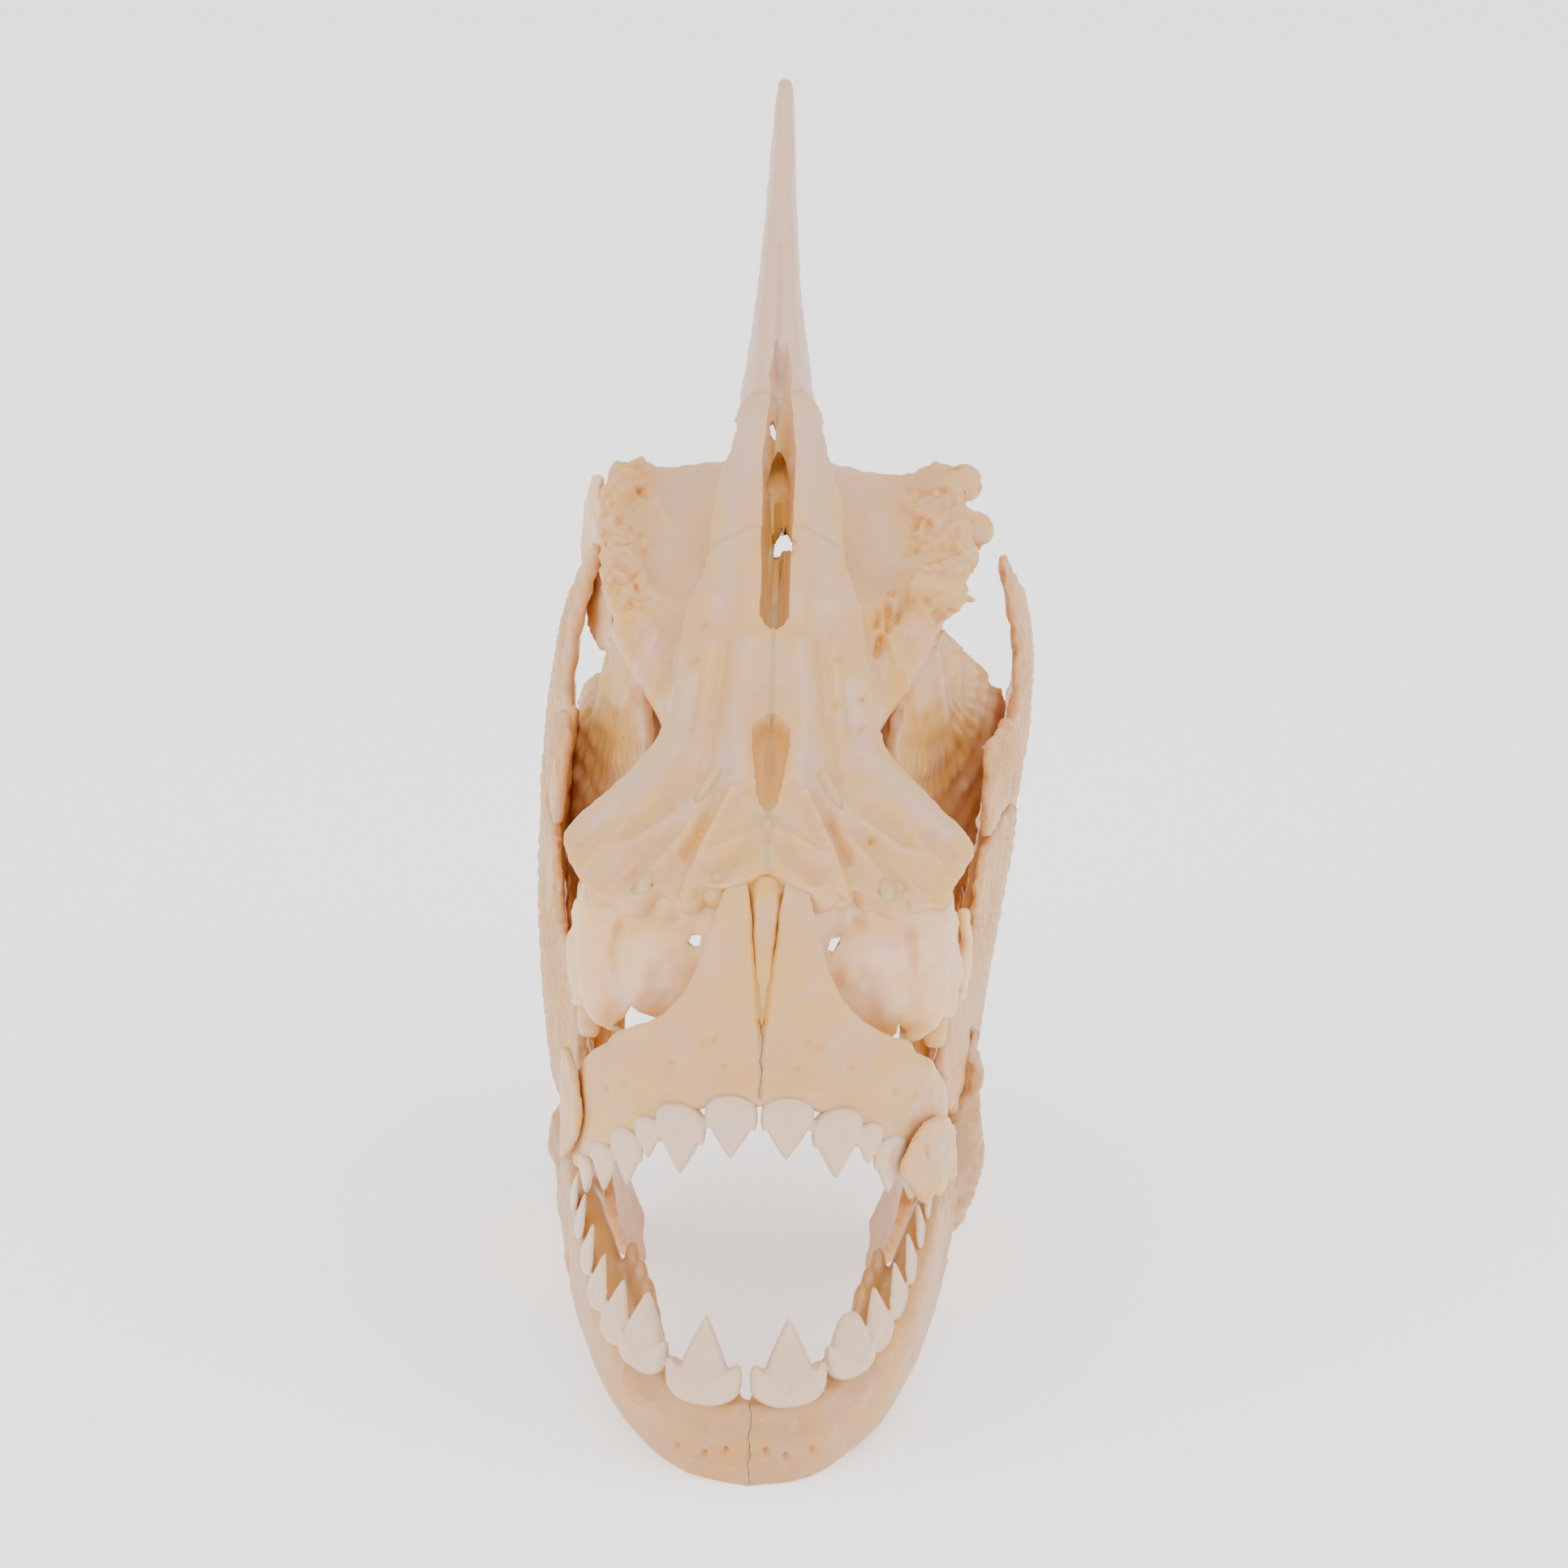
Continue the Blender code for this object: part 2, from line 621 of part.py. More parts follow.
def braincase_half(rim_wide):
    """Return the rows of points of half the braincase, from its middle top round to its base."""
    top = rail((28.0, 50.5), (34.0, 54.0), (40.0, 57.5), (46.0, 60.0), (52.0, 60.5), (57.0, 58.0))
    fossa_x = rail((28.0, 5.0), (34.0, 6.6), (40.0, 8.0), (46.0, 8.5), (57.0, 8.8))
    fossa_z = rail((28.0, 48.8), (34.0, 50.4), (40.0, 52.6), (46.0, 54.4), (52.0, 56.2), (57.0, 56.9))
    rim_x = rail((28.0, 5.4), (34.0, 8.6), (40.0, 12.0 + rim_wide), (46.0, 12.7 + rim_wide),
                 (52.0, 12.6 + rim_wide), (57.0, 10.9 + 1.6 * rim_wide))
    rim_z = rail((28.0, 46.8), (34.0, 50.0), (40.0, 53.4), (46.0, 55.2), (52.0, 57.4), (57.0, 57.8))
    wall_x = rail((28.0, 4.6), (34.0, 7.2), (40.0, 10.0), (46.0, 11.2), (52.0, 10.6), (57.0, 8.8))
    side_x = rail((28.0, 3.0), (34.0, 5.4), (40.0, 8.2), (46.0, 9.6), (52.0, 8.4), (57.0, 6.0))
    rows = []
    for y in (CASE_FRONT, 31.0, 34.0, 37.0, 40.0, 43.0, 46.0, 49.5, 53.0, CASE_BACK):
        rows.append([
            Vector((0.0, y, top(y))),
            Vector((0.6 * fossa_x(y), y, 0.35 * top(y) + 0.65 * fossa_z(y))),
            Vector((fossa_x(y), y, fossa_z(y))),
            Vector((rim_x(y) - 0.9, y, rim_z(y))),
            Vector((rim_x(y), y, rim_z(y) - 1.2)),
            Vector((wall_x(y), y, 0.45 * rim_z(y) + 24.5)),
            Vector((side_x(y), y, 40.0)),
            Vector((0.7 * side_x(y), y, 35.8)),
            Vector((0.0, y, KEEL_TOP + GAP)),
        ])
    return rows


def braincase():
    """Make the braincase, with a hollow for the neck muscle on each side of its top."""
    flip = Vector((-1.0, 1.0, 1.0))
    rows = []
    for own_left, own_right in zip(braincase_half(LEFT_RIM), braincase_half(0.0)):
        rows.append(own_left + [point * flip for point in reversed(own_right[1:-1])])
    case = loft("braincase", rows)
    extras = [lump("knob", (x, y, z), (r, 1.3 * r, r), detail=1) for x, y, z, r in KNOBS]
    extras.append(spine("spike", *SPIKE, 2.0, 0.4))
    fuse(case, extras)
    return cut(case, back_window())


def ethmoid_block():
    """Make the mesethmoid: the snout's middle block with a spine between the upper jaws."""
    rings = []
    for z, half, front, back in ((33.6, 2.6, 11.2, 15.0), (37.0, 4.2, 12.0, 17.0),
                                 (40.5, 5.0, 12.4, 18.0), (42.6, 3.0, 12.6, 17.5)):
        rings.append(rounded_ring((
            Vector((-half, back, z)), Vector((half, back, z)),
            Vector((half, front, z)), Vector((-half, front, z)))))
    body = loft("mesethmoid", rings)
    outline = ((-0.75, 41.6), (-0.7, 37.0), (-0.35, 33.4), (0.0, 31.6), (0.35, 33.4),
               (0.7, 37.0), (0.75, 41.6))
    keel = plate("keel", outline, lambda x, z: (x, face_y(z) + 1.0, z), 3.2, 3.0)
    return fuse(body, [keel])


def lateral_ethmoid(label, side):
    """Make the swollen wall between the nose and the eye, under the wing of the frontal."""
    wall = lump("lateral_ethmoid_" + label, (8.4 * side, 18.4, 33.4), (4.5, 3.4, 6.6), "thin_bone")
    near, far = sorted((2.6 * side, 9.0 * side))
    arm = block("arm", (near, 14.8, 38.0), (far, 18.2, 41.6))
    fuse(wall, [arm])
    return wall


def keel_bone():
    """Make the bar under the skull from the vomer to the joint with the spine."""
    rings = []
    stations = ((11.4, 1.0, 32.6, 34.0), (14.0, 2.2, 31.4, 34.0), (20.0, 1.5, 31.8, KEEL_TOP),
                (30.0, 1.3, 32.0, KEEL_TOP), (42.0, 2.0, 31.8, KEEL_TOP),
                (52.0, 2.6, 31.6, KEEL_TOP), (CASE_BACK, 2.4, 31.8, KEEL_TOP))
    for y, half, low, high in stations:
        rings.append(rounded_ring((
            Vector((-half, y, low)), Vector((half, y, low)),
            Vector((half, y, high)), Vector((-half, y, high))), 10))
    return loft("parasphenoid", rings)


def condyle():
    """Make the basioccipital, whose round socket meets the first vertebra."""
    rings = []
    for y, radius in ((CASE_BACK + GAP, 3.1), (59.0, 3.2), (60.4, 2.8), (60.6, 2.2), (59.4, 0.6)):
        ring = [Vector((radius * math.cos(math.tau * k / 14), y,
                        KEEL_TOP + 2.4 + radius * math.sin(math.tau * k / 14))) for k in range(14)]
        rings.append(ring)
    return loft("basioccipital", rings)


def septum():
    """Make the thin wall between the eyes, from the ethmoid back to the braincase."""
    low = KEEL_TOP + GAP
    front, back = 18.5, CASE_FRONT - GAP
    top = [(y, roof_z(y) - 1.25 * ROOF_THICK - GAP) for y in (front, 21.5, 24.5, back)]
    outline = ((front, low), (front, 40.0), *top, (back, 44.0), (back, low), (23.0, low))
    return plate("interorbital_septum", outline, lambda y, z: (0.0, y, z), 1.0, 4.0, steps=1)


def side_plate(name, side, outline, depth, thick=0.8, cell=5.0, finish="thin_bone"):
    """Make a plate that follows the flank at a depth under it; depth may depend on y and z."""
    inset = depth if callable(depth) else (lambda y, z: depth)
    return plate(name, outline, lambda y, z: ((flank(y, z, side) - inset(y, z)) * side, y, z),
                 thick, cell, finish)


def gill_cover(label, side):
    """Make the four plates of the gill cover."""
    preopercle = side_plate("preopercle_" + label, side, (
        (42.4, 40.6), (43.8, 42.6), (46.2, 41.0), (47.3, 34.0), (47.6, 26.0), (48.4, 16.0),
        (47.4, 8.6), (43.0, 5.6), (38.0, 6.8), (33.6, 9.4), (34.0, 12.8), (38.4, 13.0),
        (41.6, 16.4), (42.4, 25.0), (42.0, 34.0)), 1.4)

    def cover_depth(y, z):
        return 2.5 - 1.9 * max(ramp(y, 46.5, 54.0), ramp(z, 38.0, 45.0))

    opercle = side_plate("opercle_" + label, side, (
        (46.4, 14.0), (45.8, 28.0), (46.2, 42.0), (47.6, 51.0), (49.4, 53.4), (52.4, 51.0),
        (59.0, 46.2), (66.0, 39.6), (71.0, 31.6), (71.6, 24.4), (68.6, 18.4), (60.0, 14.0),
        (52.0, 12.4)), cover_depth)
    subopercle = side_plate("subopercle_" + label, side, (
        (50.6, 14.6), (58.0, 16.0), (66.6, 20.8), (70.4, 23.6), (69.4, 18.0), (64.0, 11.4),
        (57.0, 6.6), (51.0, 5.4)), lambda y, z: cover_depth(y, z) + 1.15)
    interopercle = side_plate("interopercle_" + label, side, (
        (33.2, 10.4), (40.0, 9.6), (49.6, 10.6), (51.4, 6.0), (50.4, 0.0), (47.6, -1.1),
        (43.4, -0.8), (37.4, 2.6), (33.0, 7.0)), 2.55, 1.0)
    cut(interopercle, under_floor())
    return preopercle, opercle, subopercle, interopercle


def cheek(label, side):
    """Make the plates under and behind the eye, and the drop-shaped bone before it."""
    large = side_plate("infraorbital_3_" + label, side, (
        (18.4, 30.6), (21.4, 33.2), (26.0, 31.4), (30.5, 32.6), (33.8, 36.2), (42.8, 36.6),
        (43.8, 28.0), (43.6, 18.6), (39.6, 15.4), (31.5, 16.8), (24.4, 19.8), (19.6, 25.0)), 0.35)
    small = side_plate("infraorbital_4_" + label, side, (
        (34.4, 37.0), (35.2, 40.6), (36.6, 43.6), (41.0, 43.4), (43.6, 41.0), (43.0, 37.0)), 0.35,
        cell=4.0)
    drop = plate("antorbital_" + label, (
        (15.6, 28.2), (16.6, 27.6), (17.6, 28.6), (17.4, 31.4), (18.2, 36.0), (17.4, 39.6),
        (15.6, 38.0), (16.0, 32.0)), lambda y, z: ((12.3 + 0.03 * (z - 28)) * side, y, z), 1.5, 3.0)
    return large, small, drop


def palate(label, side):
    """Make the inner wall of the cheek: hyomandibula, quadrate and pterygoid plate."""
    top = ((41.4, 50.4), (45.6, 46.6), (49.6, 43.0), (49.4, 38.0)) if side > 0 else (
        (42.6, 45.4), (45.2, 42.4), (46.2, 39.0))
    outline = ((38.4, 50.2), (39.8, 50.0), *top, (44.6, 32.0), (41.4, 24.0), (39.0, 18.6),
               (35.4, 19.4), (35.0, 28.0), (34.4, 37.0), (34.2, 42.0), (35.8, 47.0))
    hyomandibula = plate(
        "hyomandibula_" + label, outline,
        lambda y, z: ((9.7 + 0.52 * (y - 37.0) + 0.055 * (49.0 - z)) * side, y, z), 1.0, 5.0)
    quadrate = plate("quadrate_" + label, (
        (29.2, 14.6), (27.2, 20.0), (26.4, 24.6), (34.6, 25.4), (35.2, 20.0), (33.2, 15.6),
        (30.8, 14.0)), lambda y, z: ((11.9 - 0.05 * (z - 14.0)) * side, y, z), 1.1, 4.0)
    knuckle = lump("knuckle", (JOINT[0] * side, JOINT[1], JOINT[2] + 0.3), (1.5, JOINT_RADIUS, 1.5))
    fuse(quadrate, [knuckle])
    pterygoid = plate("pterygoid_" + label, (
        (15.6, 25.4), (17.4, 28.0), (22.0, 29.6), (28.0, 33.0), (36.6, 39.0), (36.0, 31.0), (35.4, 26.0),
        (27.0, 25.6), (21.0, 23.6), (16.4, 23.4)),
        lambda y, z: ((10.3 + 0.02 * (y - 16.0) - 0.02 * (z - 25.0)) * side, y, z), 0.9, 5.0)
    return hyomandibula, quadrate, pterygoid


def maxilla(label, side):
    """Make the toothless plate at the corner of the mouth; the left one lies further forward."""
    start = 0.52 if side > 0 else 0.70

    def surface(u, z):
        point, _, out = along_jaw(upper_rails, min(start + 0.067 * u, 1.0), side)
        back = max(start + 0.067 * u - 1.0, 0.0) / 0.067
        return point.x + out.x * 1.25, point.y + out.y * 1.25 + back, z

    return plate("maxilla_" + label, (
        (0.2, 23.0), (1.4, 25.2), (3.8, 25.8), (5.6, 24.0), (6.2, 20.8), (5.0, 18.0), (2.8, 17.8),
        (0.8, 20.2)), surface, 0.9, 2.4)


def posttemporal():
    """Make the plate that ties the right gill cover to the back of the skull."""
    outline = ((46.8, 48.6), (48.2, 53.0), (51.0, 56.6), (56.0, 57.2), (56.6, 51.6), (53.6, 47.4),
               (50.4, 45.8), (47.6, 46.6))
    return plate("posttemporal_right", outline,
                 lambda y, z: (-(11.1 + 0.33 * (y - 46.8) - 0.10 * (z - 45.0)), y, z), 0.8, 4.0)


for item in list(bpy.data.objects):
    bpy.data.objects.remove(item)

PARTS = bpy.data.collections.new("piranha_skull")
CUTTERS = bpy.data.collections.new("cutters")
bpy.context.scene.collection.children.link(PARTS)
bpy.context.scene.collection.children.link(CUTTERS)

SIDES = (("left", 1), ("right", -1))
skull = [frontal(label, side) for label, side in SIDES]
skull += [crest(), ethmoid_block()]
skull += [parietal(label, side) for label, side in SIDES]
skull += [braincase(), condyle(), keel_bone(), septum()]
skull += [lateral_ethmoid(label, side) for label, side in SIDES]
for label, side in SIDES:
    skull += lower_jaw(label, side)
    skull.append(upper_jaw(label, side))
    skull += gill_cover(label, side)
    skull += palate(label, side)
    skull += cheek(label, side)
    skull.append(maxilla(label, side))
skull.append(posttemporal())
settle(skull)
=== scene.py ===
"""Looks of a piranha's skull: each bone and each row of teeth is a piece of its own.

The skull is worked in its own millimetres: x across, y back from the front of the chin, z up.
"""
import math

import bmesh
import bpy
import numpy as np
from mathutils import Matrix, Vector
from mathutils.kdtree import KDTree


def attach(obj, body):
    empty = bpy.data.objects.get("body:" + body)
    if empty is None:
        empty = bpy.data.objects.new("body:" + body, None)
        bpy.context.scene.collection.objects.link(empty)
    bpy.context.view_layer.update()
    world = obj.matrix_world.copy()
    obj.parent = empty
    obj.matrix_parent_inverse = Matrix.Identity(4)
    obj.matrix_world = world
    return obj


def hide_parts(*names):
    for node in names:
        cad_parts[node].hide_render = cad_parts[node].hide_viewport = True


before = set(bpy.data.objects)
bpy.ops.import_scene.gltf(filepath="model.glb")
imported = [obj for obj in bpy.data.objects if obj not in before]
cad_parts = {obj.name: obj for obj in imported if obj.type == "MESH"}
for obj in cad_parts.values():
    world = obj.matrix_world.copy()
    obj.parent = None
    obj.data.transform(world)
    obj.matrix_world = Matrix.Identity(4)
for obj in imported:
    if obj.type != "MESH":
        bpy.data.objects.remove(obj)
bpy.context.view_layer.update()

# The bar under the skull, the socket for the spine and the wall between the eyes.
# They are the densest bones, which the others stand on, boiled clean and worn a little round.
MM = 0.001
CHIN = Vector((-1, -36.1, 0))  # place of the front of the chin in the frame, in millimetres
TILT = math.radians(20)  # the front view looks down by this much
TO_EYE = np.array((0, -math.cos(TILT), math.sin(TILT)))
DENSE_GRAIN = 0.3  # size of a face of these bones
DRY_RIM_AND_HIGHLIGHT = "#D4B19A"  # bone that has dried out, at rims and high up, and painted highlights along ridges
FAT = "#E09C2E"  # a stain of fat
POOLED_FAT_AND_SHADE = "#B06A14"  # fat where it lies deep, made darker still as painted shade
BONES = []  # each finished piece, with the share of fat and painted shade it takes in its hollows


def linear(code):
    """Turn an sRGB hex colour into the linear values that a shader takes."""
    parts = [int(code[k:k + 2], 16) / 255 for k in (1, 3, 5)]
    return [c / 12.92 if c <= 0.04045 else ((c + 0.055) / 1.055) ** 2.4 for c in parts] + [1]


def add(tree, kind, links=(), inputs=(), **settings):
    """Add a node with its settings, its inputs' values and its links, as (input, node, output)."""
    made = tree.nodes.new(kind)
    for name, value in settings.items():
        setattr(made, name, value)
    for name, value in dict(inputs).items():
        made.inputs[name].default_value = value
    for target, source, output in links:
        tree.links.new(source.outputs[output], made.inputs[target])
    return made


def blank(name):
    """Make a material without nodes, and return it with its tree."""
    made = bpy.data.materials.new(name)
    made.use_nodes = True
    made.node_tree.nodes.clear()
    return made, made.node_tree


def bone_finish(name, pale, warm, amber, milk, glow, pore=0.35, bump=0.25):
    """Dry cleaned bone: matt to satin, with light that sinks in, amber in its hollows that is partly fat
    and partly painted shade, and pale dry rims that also carry painted highlights.
    """
    made, tree = blank(name)
    place = add(tree, "ShaderNodeTexCoord")
    # Pores are drawn some three times coarser than life, which would be too fine to see
    cloud, haze, fleck, pores = (
        add(tree, "ShaderNodeTexNoise", [("Vector", place, "Object")],
            {"Scale": 1 / (size * MM), "Detail": detail, "Roughness": rough, "Distortion": twist})
        for size, detail, rough, twist in (
            (5.0, 4.0, 0.6, 0.0), (3.0, 3.0, 0.55, 0.6), (0.9, 3.0, 0.65, 0.0), (pore, 2.0, 0.5, 0.0)))
    cloud_share, haze_share, fleck_share = (
        add(tree, "ShaderNodeMapRange", [("Value", noise, "Fac")],
            {"From Min": low, "From Max": high, "To Max": most})
        for noise, low, high, most in (
            (cloud, 0.40, 0.62, 0.9), (haze, 0.50, 0.66, 0.60), (fleck, 0.56, 0.72, 0.30)))
    hollow_fat_and_shade, grease_and_shade, dry_rim_and_highlight = (
        add(tree, "ShaderNodeAttribute", attribute_name=kept) for kept in ("hollow_fat_and_shade", "grease_and_shade", "edge"))
    body = add(tree, "ShaderNodeMix", [("Factor", cloud_share, "Result")],
               {6: linear(pale), 7: linear(warm)}, data_type="RGBA")
    # In this mix the hollow share lays amber that is partly fat and partly painted shade, and the edge
    # share lays pale dry rims and painted highlights.
    for share, output, over in ((haze_share, "Result", milk), (fleck_share, "Result", amber),
                                (hollow_fat_and_shade, "Fac", amber), (dry_rim_and_highlight, "Fac", DRY_RIM_AND_HIGHLIGHT)):
        body = add(tree, "ShaderNodeMix", [("Factor", share, output), (6, body, 2)],
                   {7: linear(over)}, data_type="RGBA")
    # Where the stain is full, as in the slot and the closed gap, it turns darker: painted shade standing
    # in for their depth.
    pooled_and_shade = add(tree, "ShaderNodeMath", [(0, grease_and_shade, "Fac")], {1: 6.0}, operation="POWER")
    fat_and_shade = add(tree, "ShaderNodeMix", [("Factor", pooled_and_shade, "Value")],
              {6: linear(FAT), 7: linear(POOLED_FAT_AND_SHADE)}, data_type="RGBA")
    stained = add(tree, "ShaderNodeMix", [("Factor", grease_and_shade, "Fac"), (6, body, 2), (7, fat_and_shade, 2)],
                  data_type="RGBA")
    relief = add(tree, "ShaderNodeBump", [("Height", pores, "Fac")],
                 {"Strength": bump, "Distance": 0.06 * MM})
    sheen = add(tree, "ShaderNodeMapRange", [("Value", fleck, "Fac")],
                {"From Min": 0.3, "From Max": 0.7, "To Min": 0.30, "To Max": 0.46})
    shader = add(tree, "ShaderNodeBsdfPrincipled",
                 [("Base Color", stained, 2), ("Normal", relief, "Normal"),
                  ("Roughness", sheen, "Result")],
                 {"IOR": 1.54, "Subsurface Weight": glow, "Subsurface Radius": (1.0, 0.62, 0.38),
                  "Subsurface Scale": 1.6 * MM})
    add(tree, "ShaderNodeOutputMaterial", [("Surface", shader, "BSDF")])
    return made


# Compact bone of the skull and jaws: pinkish cream, satin where it was handled
COMPACT = bone_finish("compact_bone", "#D6A575", "#DCAE62", "#E4B25E", "#D7AC91", 0.45)
# Plates thin enough for light to pass: yellower, more glassy
THIN = bone_finish("thin_plate_bone", "#D4A674", "#DAAC5C", "#F2CF84", "#D8B29C", 0.60, 0.30, 0.18)


def points(piece):
    """Return the piece's points as rows of x, y, z."""
    at = np.empty(len(piece.data.vertices) * 3, np.float32)
    piece.data.vertices.foreach_get("co", at)
    return at.reshape(-1, 3).astype(float)


def normals(piece):
    """Return the way outwards at each of the piece's points."""
    way = np.empty(len(piece.data.vertices) * 3, np.float32)
    piece.data.vertex_normals.foreach_get("vector", way)
    return way.reshape(-1, 3).astype(float)


def put(piece, at):
    """Move the piece's points to these places."""
    piece.data.vertices.foreach_set("co", at.astype(np.float32).ravel())
    piece.data.update()


def mark(piece, name, value):
    """Keep a number from 0 to 1 at each point of the piece, for its finish to read."""
    kept = piece.data.attributes.get(name) or piece.data.attributes.new(name, "FLOAT", "POINT")
    kept.data.foreach_set("value", np.clip(value, 0, 1).astype(np.float32))


def bake(piece):
    """Give a piece the shape that its modifiers make, and drop them."""
    graph = bpy.context.evaluated_depsgraph_get()
    made = bpy.data.meshes.new_from_object(piece.evaluated_get(graph))
    piece.modifiers.clear()
    old = piece.data
    piece.data = made
    bpy.data.meshes.remove(old)
    made.name = piece.name


def solid_of(node):
    """Return the merged solid of a CAD node in the skull's own millimetres."""
    shell = bmesh.new()
    shell.from_mesh(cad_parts[node].data)
    bmesh.ops.remove_doubles(shell, verts=shell.verts[:], dist=0.001 * MM)
    for vert in shell.verts:
        vert.co = vert.co / MM - CHIN
    return shell


def neighbours(piece):
    """Return both ends of each edge of the piece, and how many edges meet at each point."""
    ends = np.empty(len(piece.data.edges) * 2, np.int32)
    piece.data.edges.foreach_get("vertices", ends)
    a, b = ends[0::2], ends[1::2]
    count = len(piece.data.vertices)
    return a, b, np.maximum(np.bincount(a, minlength=count) + np.bincount(b, minlength=count), 1)


def pull(at, a, b, near):
    """Return the way from each point to the middle of its neighbours."""
    total = [np.bincount(a, at[b, k], len(at)) + np.bincount(b, at[a, k], len(at)) for k in range(3)]
    return np.stack(total, axis=1) / near[:, None] - at


def relax(piece, rounds):
    """Round facets off without shrinking the piece."""
    at, joins = points(piece), neighbours(piece)
    # Each second step pushes out again what the step before pulled in
    for turn in range(2 * rounds):
        at += (0.6 if turn % 2 == 0 else -0.61) * pull(at, *joins)
    put(piece, at)


def hold(name, data):
    """Put a mesh, light or camera into the scene as a new object."""
    piece = bpy.data.objects.new(name, data)
    bpy.context.scene.collection.objects.link(piece)
    return piece


def solidify(name, shell):
    """Put a shell into the scene as a new object, and free it."""
    mesh = bpy.data.meshes.new(name)
    shell.to_mesh(mesh)
    shell.free()
    return hold(name, mesh)


def grow(name, shells, grain, rounds, swell=0.0):
    """Join closed shells into one skin of even faces, and round it off, as bone grows."""
    whole = bmesh.new()
    for shell in shells:
        bmesh.ops.recalc_face_normals(shell, faces=shell.faces[:])
        part = bpy.data.meshes.new("part")
        shell.to_mesh(part)
        shell.free()
        whole.from_mesh(part)
        bpy.data.meshes.remove(part)
    piece = solidify(name, whole)
    skin = piece.modifiers.new("skin", "REMESH")
    skin.mode = "VOXEL"
    skin.voxel_size = grain
    skin.adaptivity = 0
    bake(piece)
    relax(piece, rounds)
    if swell:
        put(piece, points(piece) + normals(piece) * swell)
    return piece


def grit(at, size, seed):
    """Return smooth random bumps between -1 and 1 whose spacing is about size millimetres."""
    cell = at / size + 31.7 * seed
    low = np.floor(cell).astype(np.int64)
    part = cell - low
    part = part * part * (3 - 2 * part)
    total = np.zeros(len(at))
    for corner in range(8):
        step = np.array([corner & 1, corner >> 1 & 1, corner >> 2])
        key = (low + step) * np.array((73856093, 19349663, 83492791))
        mixed = (key[:, 0] ^ key[:, 1] ^ key[:, 2]) * 2654435761 & 0xFFFFFFFF
        value = (mixed >> 12 & 0xFFFF) / 32767.5 - 1
        total += value * np.prod(np.where(step, part, 1 - part), axis=1)
    return total


def roughen(piece, *layers):
    """Raise and sink the surface a little, as grown bone is never flat: (size, height, seed)."""
    for size, height, seed in layers:
        at = points(piece)
        rise = height * (grit(at, size, seed) + 0.5 * grit(at, size / 2.3, seed + 1))
        put(piece, at + normals(piece) * rise[:, None])


def seat(piece, finish, slot, *nodes, fat_and_shade=1.0):
    """Put a finished piece in its place on the frame, where it stands for these nodes."""
    put(piece, (points(piece) + np.array(CHIN)) * MM)
    piece.data.shade_smooth()
    piece.data.materials.clear()
    piece.data.materials.append(finish)
    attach(piece, "root")
    if nodes:
        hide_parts(*nodes)
    BONES.append((piece, fat_and_shade))


for node in ("parasphenoid", "basioccipital", "interorbital_septum"):
    bar = grow(node + "_bone", [solid_of(node)], DENSE_GRAIN, 12, 0.08)
    roughen(bar, (1.8, 0.07, 1))
    seat(bar, COMPACT, "dense_bone", node)

# The top and back of the skull: braincase, two frontals, two parietals and the crest.
# In life they are grown together, so one skin is made over them all, and cut along their sutures.
# The outer corners of the braincase are spongy and crumbled; the crest is fine-grained and thin.
SIDES = ((1, "left"), (-1, "right"))
CUT_ANGLE = math.radians(55)  # an edge bent by more than this is drawn sharp
ROOF_GRAIN = 0.25
CASE_ROWS = (28, 57, 50)  # first and last y of the braincase, and its rows of points
CASE_POINTS = 120  # points in a row
SECTION_POINTS = 28  # points round the section of a jaw or groove
CASE_LEFT_RIM = 1.2  # the left rim stands this much further out
CASE_KNOBS = ((13.6, 55.4, 56.8, 1.4), (14.4, 52, 54.2, 1.5), (13.5, 47.2, 53.8, 1.4),
              (13, 50, 55.8, 1.3), (-11.2, 54.6, 56.8, 1.3), (-12, 48, 55.2, 1.3),
              (12.2, 44.6, 53, 1.2), (-11.6, 51.6, 56, 1.1))  # x, y, z and radius
CASE_SPIKE = ((10.4, 40.4, 53.2), (12.6, 39.4, 53.5), (14.5, 38.5, 53.7))
CRUMB_SEED = 7
CRUMB = (0.45, 0.55)  # radius of a bony crumb, and crumbs on a square millimetre
ROOF = ((11, 42.4), (15, 45.5), (20, 48.4), (26, 51.4), (30, 53.8), (38, 58.8),
        (48, 65.3), (54, 68))  # height along the middle, against y
EDGE_Y = (11, 13, 16, 19, 22, 25, 29, 34, 40, 48, 52)  # the roof's side edge
EDGE_Z = (41, 39.8, 40.6, 41.9, 44.2, 47.2, 50.9, 53.8, 57, 61.5, 64.5)
EDGE_X = (2.5, 9.5, 13, 14.3, 11.2, 7.4, 6.1, 6.1, 5, 3.7, 2.4)
ROOF_OUTLINE = ((0, 11.5), (2.2, 11.3), (6, 12.5), (10, 13.2), (12.6, 15.3), (14.2, 18.9),
                (12.6, 20.8), (9.6, 23.4), (7.3, 26), (6.3, 29), (6.2, 33), (5.2, 36.2),
                (4.4, 39), (4.1, 42.6), (3.4, 45.6), (2.6, 48), (2.1, 50.2), (0, 51.6))
ROOF_THICK = 1.8
WING_LUMPS = ((-11.9, 14.8, 38.9, 0.9), (-9.2, 13.8, 39, 1.4), (-5.4, 12.9, 39.9, 1.5),
              (3.8, 12.6, 40.6, 1.5), (7.2, 13.2, 39.6, 0.8), (8.9, 13.6, 39.3, 1.1),
              (12.3, 15.4, 39.2, 1))
ROOF_SUTURE = 39  # y of the suture between frontals and parietals
DRY_FROM = 59  # height from which the bone is drier and paler
